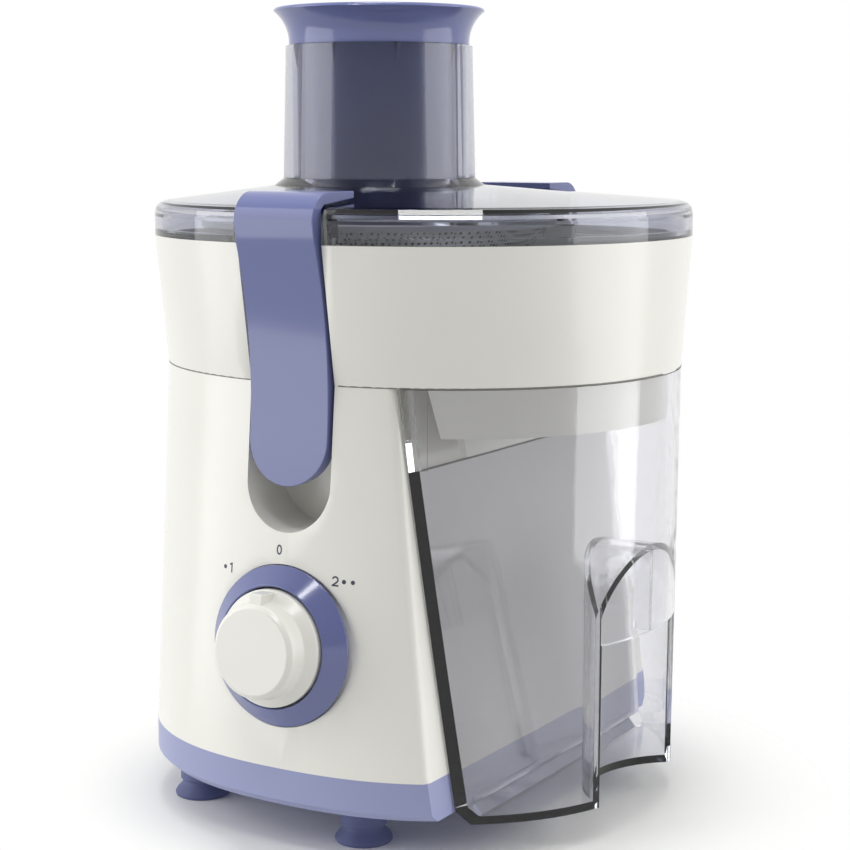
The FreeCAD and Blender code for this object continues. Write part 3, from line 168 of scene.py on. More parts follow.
class JuicerDial(bpy.types.PropertyGroup):
    """Ring and knob, as radii about the dial's axis and heights in front of the ring's seat."""

    ring_radius: length_setting("Ring", "Outer radius of the ring", 27.8)
    ring_hole: length_setting("Ring hole", "Inner radius of the ring", 20.8)
    ring_edge: length_setting("Ring edge", "Height of the ring's outer edge", 3.0)
    ring_rise: length_setting("Ring rise", "Height of the ring's inner edge", 8.6)
    ring_foot: length_setting("Ring foot", "How far the ring's back lies inside its outer radius", 2.4)
    ring_bevel: length_setting("Ring bevel", "Rounding of the ring's edges", 0.4)
    knob_radius: length_setting("Knob", "Radius of the knob's flange", 20.2)
    knob_flange: length_setting("Flange", "Height of the knob's flange", 9.8)
    knob_gap: length_setting("Knob gap", "Gap behind the knob", 0.6)
    knob_bevel: length_setting("Knob bevel", "Rounding of the knob's edges", 0.45)
    boss_radius: length_setting("Boss", "Radius of the boss at its foot", 17.0)
    boss_foot: length_setting("Boss foot", "Rise from the flange to the boss", 3.2)
    face_radius: length_setting("Face", "Radius of the flat face", 14.8)
    face_height: length_setting("Face height", "Height of the face", 19.6)
    brow: length_setting("Brow", "Slope from the face to the boss", 1.4)
    nick: length_setting("Nick", "Corners cut off the ring and the pointer", 0.6)
    pointer_width: length_setting("Pointer", "Width of the ridge that points at a figure", 5.4)
    pointer_end: length_setting("Pointer end", "Height of the ridge at its outer end", 18.0)


class JuicerFeet(bpy.types.PropertyGroup):
    """Suction feet, as radii about a foot's axis and heights above the table."""

    hollow: length_setting("Hollow", "Height of the hollow under a cup", 1.8)
    lip: length_setting("Lip", "Width of the lip that a cup stands on", 1.6)
    cup_radius: length_setting("Cup", "Rim of a suction foot", 10.3)
    rim_corner: length_setting("Rim corner", "How far the rim draws in at the table", 0.3)
    rim_height: length_setting("Rim height", "Height where the rim is widest", 1.2)
    flank_inset: length_setting("Flank", "How far the rim draws in above", 0.9)
    flank_height: length_setting("Flank height", "Height where the rim ends", 2.6)
    neck_flare: length_setting("Neck flare", "How far the cup stands out from the groove", 0.7)
    neck_drop: length_setting("Neck drop", "From the shoulder down to that flare", 1.3)
    cup_height: length_setting("Cup height", "Shoulder of a suction foot", 5.4)
    groove_radius: length_setting("Groove", "Groove between cup and stem", 7.2)
    groove_height: length_setting("Groove height", "Height of that groove", 0.8)
    stem_radius: length_setting("Stem", "Stem of a suction foot", 8.2)
    stem_top: length_setting("Stem top", "Underside of the base", 16.2)
    plug_radius: length_setting("Plug", "Plug of a foot in the base", 4.2)
    foot_bevel: length_setting("Foot bevel", "Rounding of a foot's edges", 0.4)


class JuicerTrim(bpy.types.PropertyGroup):
    """Rounding of edges, and the strip of painted shade that stands for the shadow of the gap under the collector.
    """

    clamp_edge: length_setting("Clamp edge", "Rounding along the clamps", 1.2)
    seam_edge: length_setting("Seam edge", "Rounding along the seams of the shell", 0.7)
    seam_half: pair_setting("Seam", "Half width and half depth of the body at the seam", (97.1, 86.0))
    seam_power: number_setting("Seam squareness", "Power of the outline", 2.11)
    # Height of the strip of painted shade under the collector
    seam_height: length_setting("Seam height", "Shadow gap under the collector", 0.5)
    seam_proud: length_setting("Seam proud", "How far the strip lies in front of the shell", 0.05)
    slot_half: length_setting("Clamp slot", "Half width of the slot behind a clamp", 17.3)


class JuicerPrint(bpy.types.PropertyGroup):
    """Figures and dots printed above the dial, placed across and up on the panel."""

    figure_height: length_setting("Figure height", "Height of a figure", 3.5)
    stroke: length_setting("Stroke", "Width of a stroke", 0.55)
    film: length_setting("Film", "Thickness of the ink", 0.04)
    zero_place: pair_setting("Zero", "Middle of the 0", (-2.0, 105.0))
    one_place: pair_setting("One", "Middle of the 1", (-23.0, 96.2))
    two_place: pair_setting("Two", "Middle of the 2", (20.5, 96.5))
    dot_radius: length_setting("Dot", "Radius of a speed dot", 0.75)
    dot_step: length_setting("Dot step", "From a figure to its dot and between dots", 3.2)


# Materials
def linear(hex_text):
    """sRGB hex to a linear colour."""
    values = [int(hex_text[i:i + 2], 16) / 255 for i in (1, 3, 5)]
    return [v / 12.92 if v <= 0.04045 else ((v + 0.055) / 1.055) ** 2.4 for v in values] + [1.0]


def add_node(tree, kind, settings=None, inputs=None, links=None):
    """One node: its settings, its socket values by name, and its incoming links as socket to output."""
    node = tree.nodes.new(kind)
    for key, value in (settings or {}).items():
        setattr(node, key, value)
    for key, value in (inputs or {}).items():
        node.inputs[key].default_value = value
    for key, output in (links or {}).items():
        tree.links.new(output, node.inputs[key])
    return node


def new_material(name):
    """An empty material with its shader, output and object coordinates."""
    material = bpy.data.materials.new(name)
    material.use_nodes = True
    tree = material.node_tree
    tree.nodes.clear()
    shader = add_node(tree, "ShaderNodeBsdfPrincipled")
    add_node(tree, "ShaderNodeOutputMaterial", links={"Surface": shader.outputs["BSDF"]})
    place = add_node(tree, "ShaderNodeTexCoord")
    return material, tree, shader, place.outputs["Object"]


def mottled(tree, shader, place, dark, light, size):
    """Colour that drifts between two near tones over patches of a given size."""
    drift = add_node(tree, "ShaderNodeTexNoise", inputs={"Scale": 1 / size, "Detail": 3.0},
                     links={"Vector": place})
    ramp = add_node(tree, "ShaderNodeValToRGB", links={"Fac": drift.outputs["Fac"]})
    ramp.color_ramp.elements[0].color = linear(dark)
    ramp.color_ramp.elements[1].color = linear(light)
    tree.links.new(ramp.outputs["Color"], shader.inputs["Base Color"])


def grain(tree, shader, place, size, height, roughness):
    """Uneven skin: bump from noise of a given size, and roughness that varies with it."""
    noise = add_node(tree, "ShaderNodeTexNoise", inputs={"Scale": 1 / size, "Detail": 2.0},
                     links={"Vector": place})
    bump = add_node(tree, "ShaderNodeBump", inputs={"Strength": 0.12, "Distance": height},
                    links={"Height": noise.outputs["Fac"]})
    tree.links.new(bump.outputs["Normal"], shader.inputs["Normal"])
    spread = add_node(tree, "ShaderNodeMapRange", inputs={"To Min": roughness[0], "To Max": roughness[1]},
                      links={"Value": noise.outputs["Fac"]})
    tree.links.new(spread.outputs["Result"], shader.inputs["Roughness"])


def shade(hex_text, factor):
    """The same hue, lighter or darker."""
    values = [min(255, round(int(hex_text[i:i + 2], 16) * factor)) for i in (1, 3, 5)]
    return "#" + "".join(f"{v:02X}" for v in values)


def moulded_plastic(name, colour, roughness):
    """Injection moulded ABS: an even colour, and a polished skin whose faint ripple softens reflections."""
    material, tree, shader, place = new_material(name)
    mottled(tree, shader, place, shade(colour, 0.98), shade(colour, 1.012), 45 * MM)
    grain(tree, shader, place, 9 * MM, 0.01 * MM, roughness)
    shader.inputs["IOR"].default_value = 1.53
    return material


def clear_plastic(name, colour, tint, density):
    """Clear SAN: polished walls that bend what is behind them. The tint is in the body, so edges are dark."""
    material, tree, shader, place = new_material(name)
    mottled(tree, shader, place, shade(colour, 0.985), colour, 60 * MM)
    shader.inputs["Roughness"].default_value = 0.02
    shader.inputs["IOR"].default_value = 1.5
    shader.inputs["Transmission Weight"].default_value = 1.0
    body = add_node(tree, "ShaderNodeVolumeAbsorption", inputs={"Color": linear(tint), "Density": density})
    tree.links.new(body.outputs["Volume"], tree.get_output_node("ALL").inputs["Volume"])
    return material


def soft_rubber(name, colour):
    """Moulded rubber: matt, slightly dusty, with a fine pebble."""
    material, tree, shader, place = new_material(name)
    mottled(tree, shader, place, shade(colour, 0.85), shade(colour, 1.12), 9 * MM)
    grain(tree, shader, place, 0.7 * MM, 0.05 * MM, (0.55, 0.75))
    shader.inputs["IOR"].default_value = 1.52
    return material


def worked_metal(name, colour, roughness, stretch=(1.0, 1.0, 14.0)):
    """Turned or drawn metal: fine lines round the axis of the work that spread the highlight."""
    material, tree, shader, place = new_material(name)
    lines = add_node(tree, "ShaderNodeMapping", inputs={"Scale": stretch}, links={"Vector": place})
    noise = add_node(tree, "ShaderNodeTexNoise", inputs={"Scale": 1 / (2.5 * MM), "Detail": 2.0},
                     links={"Vector": lines.outputs["Vector"]})
    ramp = add_node(tree, "ShaderNodeValToRGB", links={"Fac": noise.outputs["Fac"]})
    ramp.color_ramp.elements[0].color = linear(shade(colour, 0.88))
    ramp.color_ramp.elements[1].color = linear(colour)
    tree.links.new(ramp.outputs["Color"], shader.inputs["Base Color"])
    spread = add_node(tree, "ShaderNodeMapRange", inputs={"To Min": roughness[0], "To Max": roughness[1]},
                      links={"Value": noise.outputs["Fac"]})
    tree.links.new(spread.outputs["Result"], shader.inputs["Roughness"])
    shader.inputs["Metallic"].default_value = 1.0
    return material


def perforated_steel(name, colour, pitch):
    """Etched stainless sheet: dark round holes on an even pitch in a bright ground."""
    material, tree, shader, place = new_material(name)
    holes = add_node(tree, "ShaderNodeTexVoronoi", inputs={"Scale": 1 / pitch, "Randomness": 0.0},
                     links={"Vector": place})
    edge = add_node(tree, "ShaderNodeMapRange", inputs={"From Min": 0.3, "From Max": 0.4},
                    links={"Value": holes.outputs["Distance"]})
    ramp = add_node(tree, "ShaderNodeValToRGB", links={"Fac": edge.outputs["Result"]})
    ramp.color_ramp.elements[0].color = linear(shade(colour, 0.22))
    ramp.color_ramp.elements[1].color = linear(colour)
    tree.links.new(ramp.outputs["Color"], shader.inputs["Base Color"])
    bump = add_node(tree, "ShaderNodeBump", inputs={"Strength": 0.5, "Distance": 0.2 * MM},
                    links={"Height": edge.outputs["Result"]})
    tree.links.new(bump.outputs["Normal"], shader.inputs["Normal"])
    shader.inputs["Metallic"].default_value = 1.0
    shader.inputs["Roughness"].default_value = 0.3
    return material


def ink_and_painted_shade(name, colour):
    """Pad printed ink: a thin matt film, a little uneven in cover. The same film also carries the painted shade of
    the seam under the collector.
    """
    material, tree, shader, place = new_material(name)
    mottled(tree, shader, place, shade(colour, 0.9), shade(colour, 1.15), 1.2 * MM)
    shader.inputs["Roughness"].default_value = 0.5
    return material


def paint(node, material):
    """Give a frame node its finish."""
    data = NODES[node].data
    data.materials.clear()
    data.materials.append(material)


class JUICER_OT_finishes(bpy.types.Operator):
    """Make every finish and put it on the frame's nodes by their material slot"""

    bl_idname = "juicer.finishes"
    bl_label = "Finishes"

    def execute(self, context):
        c = context.scene.juicer_colours
        SLOT_FINISH.update({
            "white_plastic": moulded_plastic("white moulded ABS", c.white, (0.2, 0.26)),
            "blue_plastic": moulded_plastic("blue moulded ABS", c.blue, (0.1, 0.14)),
            "clear_plastic": clear_plastic("clear SAN", c.clear, c.tint, c.clear_density),
            "dark_rubber": soft_rubber("moulded rubber", c.rubber),
            "steel": worked_metal("brushed stainless steel", c.steel, (0.24, 0.36)),
            "lamination": worked_metal("stacked core sheet", c.lamination, (0.4, 0.55)),
            "zinc_plate": worked_metal("zinc plated sheet", c.zinc, (0.3, 0.45), (1.0, 1.0, 1.0)),
            "copper": worked_metal("copper winding", c.copper, (0.3, 0.42)),
            "brass": worked_metal("pressed brass", c.brass, (0.28, 0.4), (1.0, 1.0, 1.0)),
            "black_plastic": moulded_plastic("black moulded nylon", c.black, (0.4, 0.5)),
            "grey_plastic": moulded_plastic("grey moulded ABS", c.grey, (0.34, 0.42)),
        })
        for subpart in frame["record"]["subparts"]:
            paint(subpart["node"], SLOT_FINISH[subpart["material_slot"]])
        # The satin skin's roughness is its own; its lighter blue is painted bounce light from the table
        paint("base_tray", moulded_plastic("satin blue moulded ABS with painted bounce light", c.base_blue_painted_bounce, (0.36, 0.4)))
        paint("lid", clear_plastic("smoke clear SAN", c.smoke, c.tint, c.smoke_density))
        paint("filter_mesh", perforated_steel("etched stainless mesh", c.steel, c.mesh_pitch))
        return {"FINISHED"}


# Surfaces, each as its points and a list of face grids
def turned_surface(profile, count=96):
    """A turned skin: each radius of the profile times the cosine and sine of a turn, at its height."""
    radius, height = np.asarray(profile).T
    turn = np.linspace(0, 2 * math.pi, count, endpoint=False)[:, None]
    points = np.stack(np.broadcast_arrays(radius * np.cos(turn), radius * np.sin(turn), height), axis=-1)
    size = len(radius)
    step, rise = np.meshgrid(np.arange(count), np.arange(size - 1), indexing="ij")
    here, there = step * size + rise, (step + 1) % count * size + rise
    faces = np.stack([here, there, there + 1, here + 1], axis=-1)
    return points.reshape(-1, 3), [faces.reshape(-1, 4)]


def prism_surface(outline, width):
    """A prism: an outline of (up, out) at half the width to either side, its sides and ends closed."""
    size = len(outline)
    ends = [np.column_stack([np.full(size, x), np.asarray(outline)]) for x in (-width / 2, width / 2)]
    here = np.arange(size)
    there = (here + 1) % size
    sides = np.stack([here, there, there + size, here + size], axis=-1)
    return np.concatenate(ends), [sides, np.stack([here[::-1], here + size])]


def strip_surface(grid, kept=slice(None)):
    """A strip: rows of two points side by side, each kept row joined to the next one."""
    first = 2 * np.arange(len(grid) - 1)[kept]
    return grid.reshape(-1, 3), [np.stack([first, first + 2, first + 3, first + 1], axis=1)]


def mesh_of(name, surfaces, turn=np.eye(3), place=(0, 0, 0)):
    """One mesh of several surfaces: their points times a turning matrix, moved to a place."""
    starts = np.cumsum([0] + [len(points) for points, _ in surfaces])
    points = np.concatenate([points for points, _ in surfaces]) @ np.asarray(turn).T + np.asarray(place)
    faces = [(grid + start).tolist() for (_, grids), start in zip(surfaces, starts) for grid in grids]
    mesh = bpy.data.meshes.new(name)
    mesh.from_pydata(points.tolist(), [], sum(faces, []))
    return mesh


def new_piece(name, mesh, finish):
    """A piece at the origin with one finish."""
    mesh.materials.clear()
    mesh.materials.append(finish)
    piece = bpy.data.objects.new(name, mesh)
    bpy.context.scene.collection.objects.link(piece)
    return piece


def finished_piece(name, mesh, edge, finish):
    """Merge doubles, turn faces outwards, and round the edges of a piece."""
    work = bmesh.new()
    work.from_mesh(mesh)
    bmesh.ops.remove_doubles(work, verts=work.verts, dist=MERGE_DISTANCE)
    bmesh.ops.dissolve_limit(work, angle_limit=FLAT_ANGLE, verts=work.verts, edges=work.edges)
    bmesh.ops.recalc_face_normals(work, faces=work.faces)
    work.to_mesh(mesh)
    work.free()
    mesh.shade_smooth()
    mesh.set_sharp_from_angle(angle=CORNER_ANGLE)
    piece = new_piece(name, mesh, finish)
    bevel = piece.modifiers.new("rounded edges", "BEVEL")
    bevel.width = edge
    bevel.segments = BEVEL_STEPS
    bevel.limit_method = "ANGLE"
    bevel.angle_limit = CORNER_ANGLE
    bevel.harden_normals = True
    return piece


class JUICER_OT_dial(bpy.types.Operator):
    """Turn the dial's ring and its knob with the pointer about the axis of the knob's joint"""

    bl_idname = "juicer.dial"
    bl_label = "Dial"

    def execute(self, context):
        d = context.scene.juicer_dial
        joint = next(j for j in frame["joints"] if j["name"] == "knob_turn")
        out = np.array(joint["axis"])
        turn = np.stack([(1, 0, 0), np.cross(out, (1, 0, 0)), out], axis=1)
        ring = turned_surface([
            (d.ring_hole, 0), (d.ring_radius - d.ring_foot, 0), (d.ring_radius, d.ring_edge - d.nick),
            (d.ring_radius, d.ring_edge), (d.ring_hole + d.nick, d.ring_rise),
            (d.ring_hole, d.ring_rise - d.nick), (d.ring_hole, 0),
        ])
        mesh = mesh_of("dial_ring", [ring], turn, joint["pos_m"])
        piece = finished_piece("dial_ring", mesh, d.ring_bevel, SLOT_FINISH["blue_plastic"])
        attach(piece, "body")
        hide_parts("knob_bezel")
        brow_height = d.face_height - d.brow
        knob = turned_surface([
            (0, d.knob_gap), (d.knob_radius, d.knob_gap), (d.knob_radius, d.knob_flange),
            (d.boss_radius, d.knob_flange + d.boss_foot), (d.face_radius + d.brow, brow_height),
            (d.face_radius, d.face_height), (0, d.face_height),
        ])
        inner, outer = d.boss_radius / 2, d.knob_radius - d.nick
        pointer = prism_surface([
            (inner, d.knob_flange), (outer, d.knob_flange - d.nick), (outer, d.pointer_end),
            (d.boss_radius - d.nick, brow_height), (inner, brow_height),
        ], d.pointer_width)
        mesh = mesh_of("dial_knob", [knob, pointer], turn, joint["pos_m"])
        piece = finished_piece("dial_knob", mesh, d.knob_bevel, SLOT_FINISH["white_plastic"])
        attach(piece, "knob")
        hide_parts("control_knob")
        return {"FINISHED"}


class JUICER_OT_feet(bpy.types.Operator):
    """Turn the four suction feet: cup, groove, stem and plug"""

    bl_idname = "juicer.feet"
    bl_label = "Feet"

    def execute(self, context):
        f = context.scene.juicer_feet
        groove_top = f.cup_height + f.groove_height
        for node in [name for name in NODES if name.startswith("suction_foot")]:
            low, high = np.array(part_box(node))
            foot = turned_surface([
                (0, f.hollow), (f.cup_radius - f.lip, 0), (f.cup_radius - f.rim_corner, 0),
                (f.cup_radius, f.rim_height), (f.cup_radius - f.flank_inset, f.flank_height),
                (f.groove_radius + f.neck_flare, f.cup_height - f.neck_drop), (f.groove_radius, f.cup_height),
                (f.groove_radius, groove_top), (f.stem_radius, groove_top), (f.stem_radius, f.stem_top),
                (f.plug_radius, f.stem_top), (f.plug_radius, high[2]), (0, high[2]),
            ], 64)
            name = node.replace("suction_foot", "cup")
            middle = (low + high) / 2
            mesh = mesh_of(name, [foot], place=(middle[0], middle[1], 0))
            piece = finished_piece(name, mesh, f.foot_bevel, SLOT_FINISH["dark_rubber"])
            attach(piece, "body")
            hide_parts(node)
        return {"FINISHED"}


class JUICER_OT_rounded(bpy.types.Operator):
    """Round the edges of the clamps and of the shell on merged copies of their nodes"""

    bl_idname = "juicer.rounded"
    bl_label = "Rounded edges"

    def execute(self, context):
        trim = context.scene.juicer_trim
        for node, body, edge, slot in (
            ("front_clamp", "front_clamp", trim.clamp_edge, "blue_plastic"),
            ("rear_clamp", "rear_clamp", trim.clamp_edge, "blue_plastic"),
            ("motor_housing", "body", trim.seam_edge, "white_plastic"),
            ("juice_collector", "body", trim.seam_edge, "white_plastic"),
        ):
            data = NODES[node].data
            piece = finished_piece(f"{node}_rounded", data.copy(), edge, data.materials[0])
            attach(piece, body)
            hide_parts(node)
        return {"FINISHED"}


class JUICER_OT_painted_seam_shade(bpy.types.Operator):
    """Lay a dark strip of painted shade, standing for the shadow of the gap, along the lower edge of the
    collector, apart from the clamps' slots
    """

    bl_idname = "juicer.seam"
    bl_label = "Seam"

    def execute(self, context):
        """The strip follows a superellipse: half sizes times the powers of cosine and sine of a turn."""
        trim = context.scene.juicer_trim
        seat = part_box("motor_housing")[1][2]
        low, high = np.array(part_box("juice_collector"))
        turn = np.linspace(0, 2 * math.pi, 361)
        wave = np.stack([np.cos(turn), np.sin(turn)], axis=1)
        reach = np.array(trim.seam_half) + trim.seam_proud
        plan = reach * np.sign(wave) * np.abs(wave) ** (2 / trim.seam_power)
        across, depth = plan[:, 0], plan[:, 1] + (low[1] + high[1]) / 2
        grid = np.stack([np.column_stack([across, depth, np.full(len(turn), height)])
                         for height in (seat, seat + trim.seam_height)], axis=1)
        strip = strip_surface(grid, np.abs(across[:-1]) > trim.slot_half)
        # The strip is painted shade: a matt dark film laid on the collector where the gap lies in shadow
        finish = ink_and_painted_shade("painted seam shade", context.scene.juicer_colours.seam)
        piece = new_piece("collector_painted_seam_shade", mesh_of("collector_painted_seam_shade", [strip]), finish)
        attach(piece, "body")
        return {"FINISHED"}


# Printed figures
FIGURE_REACH = 0.28  # half width of a figure as a share of its height
FLAG_ENDS = (0.55, 0.93)  # low and high end of the 1's flag as shares of half its height
BOWL_TURN = (165, -25)  # start and end of the 2's bowl in degrees
BOWL_FOOT = 0.7  # start of the 2's slope as a share of its half width
DOT_CORE = 0.02  # hole that stays in a dot's middle as a share of its radius


def stroke_grid(path, width):
    """A flat stroke: each point of the path moved half a width to either side along the path's normal."""
    along = np.gradient(path, axis=0)
    along /= np.linalg.norm(along, axis=1, keepdims=True)
    side = np.stack([along[:, 1], -along[:, 0]], axis=1) * width / 2
    return np.stack([path + side, path - side], axis=1)


def dot_grid(middle, radius):
    """A round dot: rings of growing radius about its middle, as radius times cosine and sine of a turn."""
    turn = np.linspace(0, 2 * math.pi, 33)
    ring = np.stack([np.cos(turn), np.sin(turn)], axis=1)
    reach = np.array([radius, DOT_CORE * radius])
    return np.asarray(middle) + ring[:, None, :] * reach[None, :, None]


def arc_path(middle, radii, start, end, count=25):
    """Part of an ellipse: the middle plus the radii times cosine and sine of a turn."""
    turn = np.radians(np.linspace(start, end, count))
    return np.asarray(middle) + np.stack([radii[0] * np.cos(turn), radii[1] * np.sin(turn)], axis=1)


def straight_path(start, end, count=7):
    """A straight line from start to end."""
    share = np.linspace(0, 1, count)[:, None]
    return (1 - share) * np.asarray(start) + share * np.asarray(end)


class JUICER_OT_panel_print(bpy.types.Operator):
    """Print 0, 1 and 2 above the dial, with one dot beside the 1 and two beside the 2"""

    bl_idname = "juicer.panel_print"
    bl_label = "Panel print"

    def execute(self, context):
        p = context.scene.juicer_print
        ink = ink_and_painted_shade("pad printed ink", context.scene.juicer_colours.print_ink)
        half, reach = p.figure_height / 2, p.figure_height * FIGURE_REACH
        zero = [arc_path((0, 0), (reach - p.stroke / 4, half - p.stroke / 2), 0, 360, 49)]
        one = [straight_path((0, -half), (0, half)),
               straight_path((-reach, half * FLAG_ENDS[0]), (p.stroke / 2, half * FLAG_ENDS[1]))]
        bowl, foot = half - reach, -half + p.stroke / 2
        two = [np.concatenate([arc_path((0, bowl - p.stroke / 2), (reach, reach), *BOWL_TURN),
                               straight_path((reach * BOWL_FOOT, bowl - reach), (-reach, foot))]),
               straight_path((-reach - p.stroke / 2, foot), (reach + p.stroke / 2, foot))]
        for name, place, strokes, dots in (
            ("figure_0", p.zero_place, zero, []),
            ("figure_1", p.one_place, one, [-1]),
            ("figure_2", p.two_place, two, [1, 2]),
        ):
            grids = [stroke_grid(path + np.array(place), p.stroke) for path in strokes]
            grids += [dot_grid((place[0] + count * p.dot_step, place[1]), p.dot_radius) for count in dots]
            self.print_on_panel(context, name, grids, p.film, ink)
        return {"FINISHED"}

    def print_on_panel(self, context, name, grids, film, ink):
        """Lay flat grids of across and up onto the housing from in front, a film's thickness proud of it."""
        front = 2 * CAD_BOX[0][1]
        strips = [strip_surface(np.insert(grid, 1, front, axis=-1)) for grid in grids]
        piece = new_piece(name, mesh_of(name, strips), ink)
        wrap = piece.modifiers.new("onto housing", "SHRINKWRAP")
        wrap.target = NODES["motor_housing"]
        wrap.wrap_method = "PROJECT"
        wrap.use_project_y = True
        piece.data = bpy.data.meshes.new_from_object(piece.evaluated_get(context.evaluated_depsgraph_get()))
        piece.modifiers.clear()
        places = np.empty(3 * len(piece.data.vertices))
        piece.data.vertices.foreach_get("co", places)
        places[1::3] -= film
        piece.data.vertices.foreach_set("co", places)
        piece.data.materials.clear()
        piece.data.materials.append(ink)
        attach(piece, "body")


# Stage
SENSOR_WIDTH = 36.0
AIM = np.array([0.0, 0.0, 0.14])  # where the lamps point
FRONT_LIFT = math.radians(25)  # middle of the dim part of the room, above the camera's heading
FRONT_SPAN = (0.1, 0.85)  # cosines from that middle between which the room goes dim
HORIZON_SPAN = (-0.02, 0.12)  # heights of a ray between which the floor's white gives way to the room


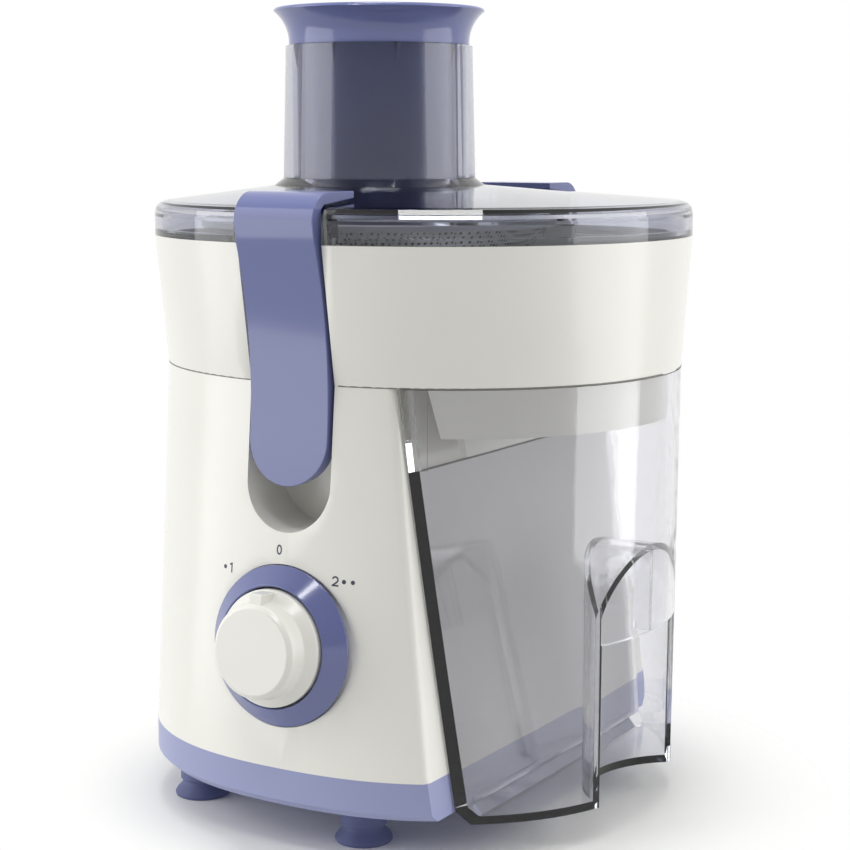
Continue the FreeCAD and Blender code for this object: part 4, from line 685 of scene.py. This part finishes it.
class JUICER_OT_stage(bpy.types.Operator):
    """Set up the floor, the soft lights and the camera"""

    bl_idname = "juicer.stage"
    bl_label = "Stage"

    def execute(self, context):
        view = context.scene.juicer_view
        scene = context.scene
        scene.view_settings.view_transform = "Standard"
        self.add_floor(view)
        self.add_world(scene, view)
        heading = view.camera_heading
        # degrees from the camera's heading, distance and height in metres, power, width and height
        for name, turn, distance, height, power, size in (
            ("left soft light", -82, 1.0, 0.38, view.side_power, (0.9, 1.1)),
            ("right soft light", 82, 1.0, 0.38, view.side_power, (0.9, 1.1)),
            ("top soft light", 0, 0.001, 1.3, view.top_power, (0.4, 0.4)),
            ("strip light", -14, 0.62, 1.15, view.strip_power, (0.5, 0.07)),
        ):
            place = (math.sin(heading + math.radians(turn)) * distance,
                     -math.cos(heading + math.radians(turn)) * distance, height)
            self.add_light(scene, name, np.array(place), power, size)
        camera = bpy.data.objects.new("camera", bpy.data.cameras.new("camera"))
        camera.location = view.camera_place
        camera.rotation_euler = (view.camera_pitch, 0.0, heading)
        camera.data.lens = view.lens
        camera.data.sensor_width = SENSOR_WIDTH
        scene.collection.objects.link(camera)
        scene.camera = camera
        return {"FINISHED"}

    def add_floor(self, view):
        """A pale floor that fades out into the white room at its rim."""
        material, tree, shader, place = new_material("white studio floor")
        shader.inputs["Base Color"].default_value = linear(view.floor)
        shader.inputs["Roughness"].default_value = 0.7
        reach = add_node(tree, "ShaderNodeVectorMath", {"operation": "LENGTH"}, links={"Vector": place})
        fade = add_node(tree, "ShaderNodeMapRange", {"interpolation_type": "SMOOTHSTEP"},
                        inputs={"From Min": view.fade_start, "From Max": view.fade_end,
                                "To Min": 1.0, "To Max": 0.0},
                        links={"Value": reach.outputs["Value"]})
        tree.links.new(fade.outputs["Result"], shader.inputs["Alpha"])
        corners = view.floor_half * np.array([[-1, -1, 0], [1, -1, 0], [1, 1, 0], [-1, 1, 0]])
        mesh = mesh_of("floor", [(corners, [np.arange(4)[None, :]])])
        floor = new_piece("floor", mesh, material)

    def add_world(self, scene, view):
        """A white room that is dim above the camera, so upright faces shade off towards their middle."""
        world = bpy.data.worlds.new("studio")
        world.use_nodes = True
        tree = world.node_tree
        tree.nodes.clear()
        heading, level = view.camera_heading, math.cos(FRONT_LIFT)
        front = (math.sin(heading) * level, -math.cos(heading) * level, math.sin(FRONT_LIFT))
        ways = add_node(tree, "ShaderNodeTexCoord").outputs["Generated"]
        facing = add_node(tree, "ShaderNodeVectorMath", {"operation": "DOT_PRODUCT"},
                          inputs={1: front}, links={0: ways})
        path = add_node(tree, "ShaderNodeLightPath")
        shown = add_node(tree, "ShaderNodeMath", {"operation": "MAXIMUM"}, links={
            0: path.outputs["Is Glossy Ray"], 1: path.outputs["Is Transmission Ray"]})
        share = add_node(tree, "ShaderNodeMapRange",
                         inputs={"To Min": view.front_strength, "To Max": view.mirror_strength},
                         links={"Value": shown.outputs[0]})
        dim = add_node(tree, "ShaderNodeMapRange", {"interpolation_type": "SMOOTHSTEP"},
                       inputs={"From Min": FRONT_SPAN[0], "From Max": FRONT_SPAN[1], "To Min": 1.0},
                       links={"Value": facing.outputs["Value"], "To Max": share.outputs["Result"]})
        parts = add_node(tree, "ShaderNodeSeparateXYZ", links={"Vector": ways})
        room = add_node(tree, "ShaderNodeMapRange", {"interpolation_type": "SMOOTHSTEP"},
                        inputs={"From Min": HORIZON_SPAN[0], "From Max": HORIZON_SPAN[1], "To Min": 1.0},
                        links={"Value": parts.outputs["Z"], "To Max": dim.outputs["Result"]})
        strength = add_node(tree, "ShaderNodeMapRange", inputs={"To Min": view.world_strength, "To Max": 1.0},
                            links={"Value": shown.outputs[0]})
        light = add_node(tree, "ShaderNodeMath", {"operation": "MULTIPLY"}, links={
            0: strength.outputs["Result"], 1: room.outputs["Result"]})
        seen = add_node(tree, "ShaderNodeMapRange", inputs={"To Max": 1.0}, links={
            "Value": path.outputs["Is Camera Ray"], "To Min": light.outputs[0]})
        sky = add_node(tree, "ShaderNodeBackground", inputs={"Color": (1, 1, 1, 1)},
                       links={"Strength": seen.outputs["Result"]})
        add_node(tree, "ShaderNodeOutputWorld", links={"Surface": sky.outputs["Background"]})
        scene.world = world

    def add_light(self, scene, name, place, power, size):
        """A soft rectangular lamp that points at the middle of the object and isn't seen itself."""
        lamp = bpy.data.lights.new(name, "AREA")
        lamp.shape = "RECTANGLE"
        lamp.size, lamp.size_y = size
        lamp.energy = power
        light = bpy.data.objects.new(name, lamp)
        light.visible_camera = False
        aim = AIM - place
        tilt = math.atan2(np.hypot(aim[0], aim[1]), -aim[2])
        light.location = place
        light.rotation_euler = (tilt, 0, math.atan2(aim[1], aim[0]) - math.pi / 2)
        scene.collection.objects.link(light)


class JUICER_PT_panel(bpy.types.Panel):
    """Settings and steps in the sidebar"""

    bl_label = "Juicer"
    bl_space_type = "VIEW_3D"
    bl_region_type = "UI"
    bl_category = "Juicer"

    def draw(self, context):
        for name, group in SETTINGS.items():
            column = self.layout.box().column()
            for setting in group.__annotations__:
                column.prop(getattr(context.scene, name), setting)
        for step in STEPS:
            self.layout.operator(step.bl_idname)


SETTINGS = {"juicer_view": JuicerView, "juicer_colours": JuicerColours, "juicer_dial": JuicerDial,
            "juicer_feet": JuicerFeet, "juicer_trim": JuicerTrim, "juicer_print": JuicerPrint}
STEPS = (JUICER_OT_finishes, JUICER_OT_dial, JUICER_OT_feet, JUICER_OT_rounded, JUICER_OT_painted_seam_shade,
         JUICER_OT_panel_print, JUICER_OT_stage)


def register():
    for cls in (*SETTINGS.values(), *STEPS, JUICER_PT_panel):
        bpy.utils.register_class(cls)
    for name, cls in SETTINGS.items():
        setattr(bpy.types.Scene, name, bpy.props.PointerProperty(type=cls))


def unregister():
    for name in SETTINGS:
        delattr(bpy.types.Scene, name)
    for cls in (JUICER_PT_panel, *reversed(STEPS), *SETTINGS.values()):
        bpy.utils.unregister_class(cls)


def main():
    register()
    for step in STEPS:
        group, action = step.bl_idname.split(".")
        getattr(getattr(bpy.ops, group), action)()


if __name__ == "__main__":
    main()
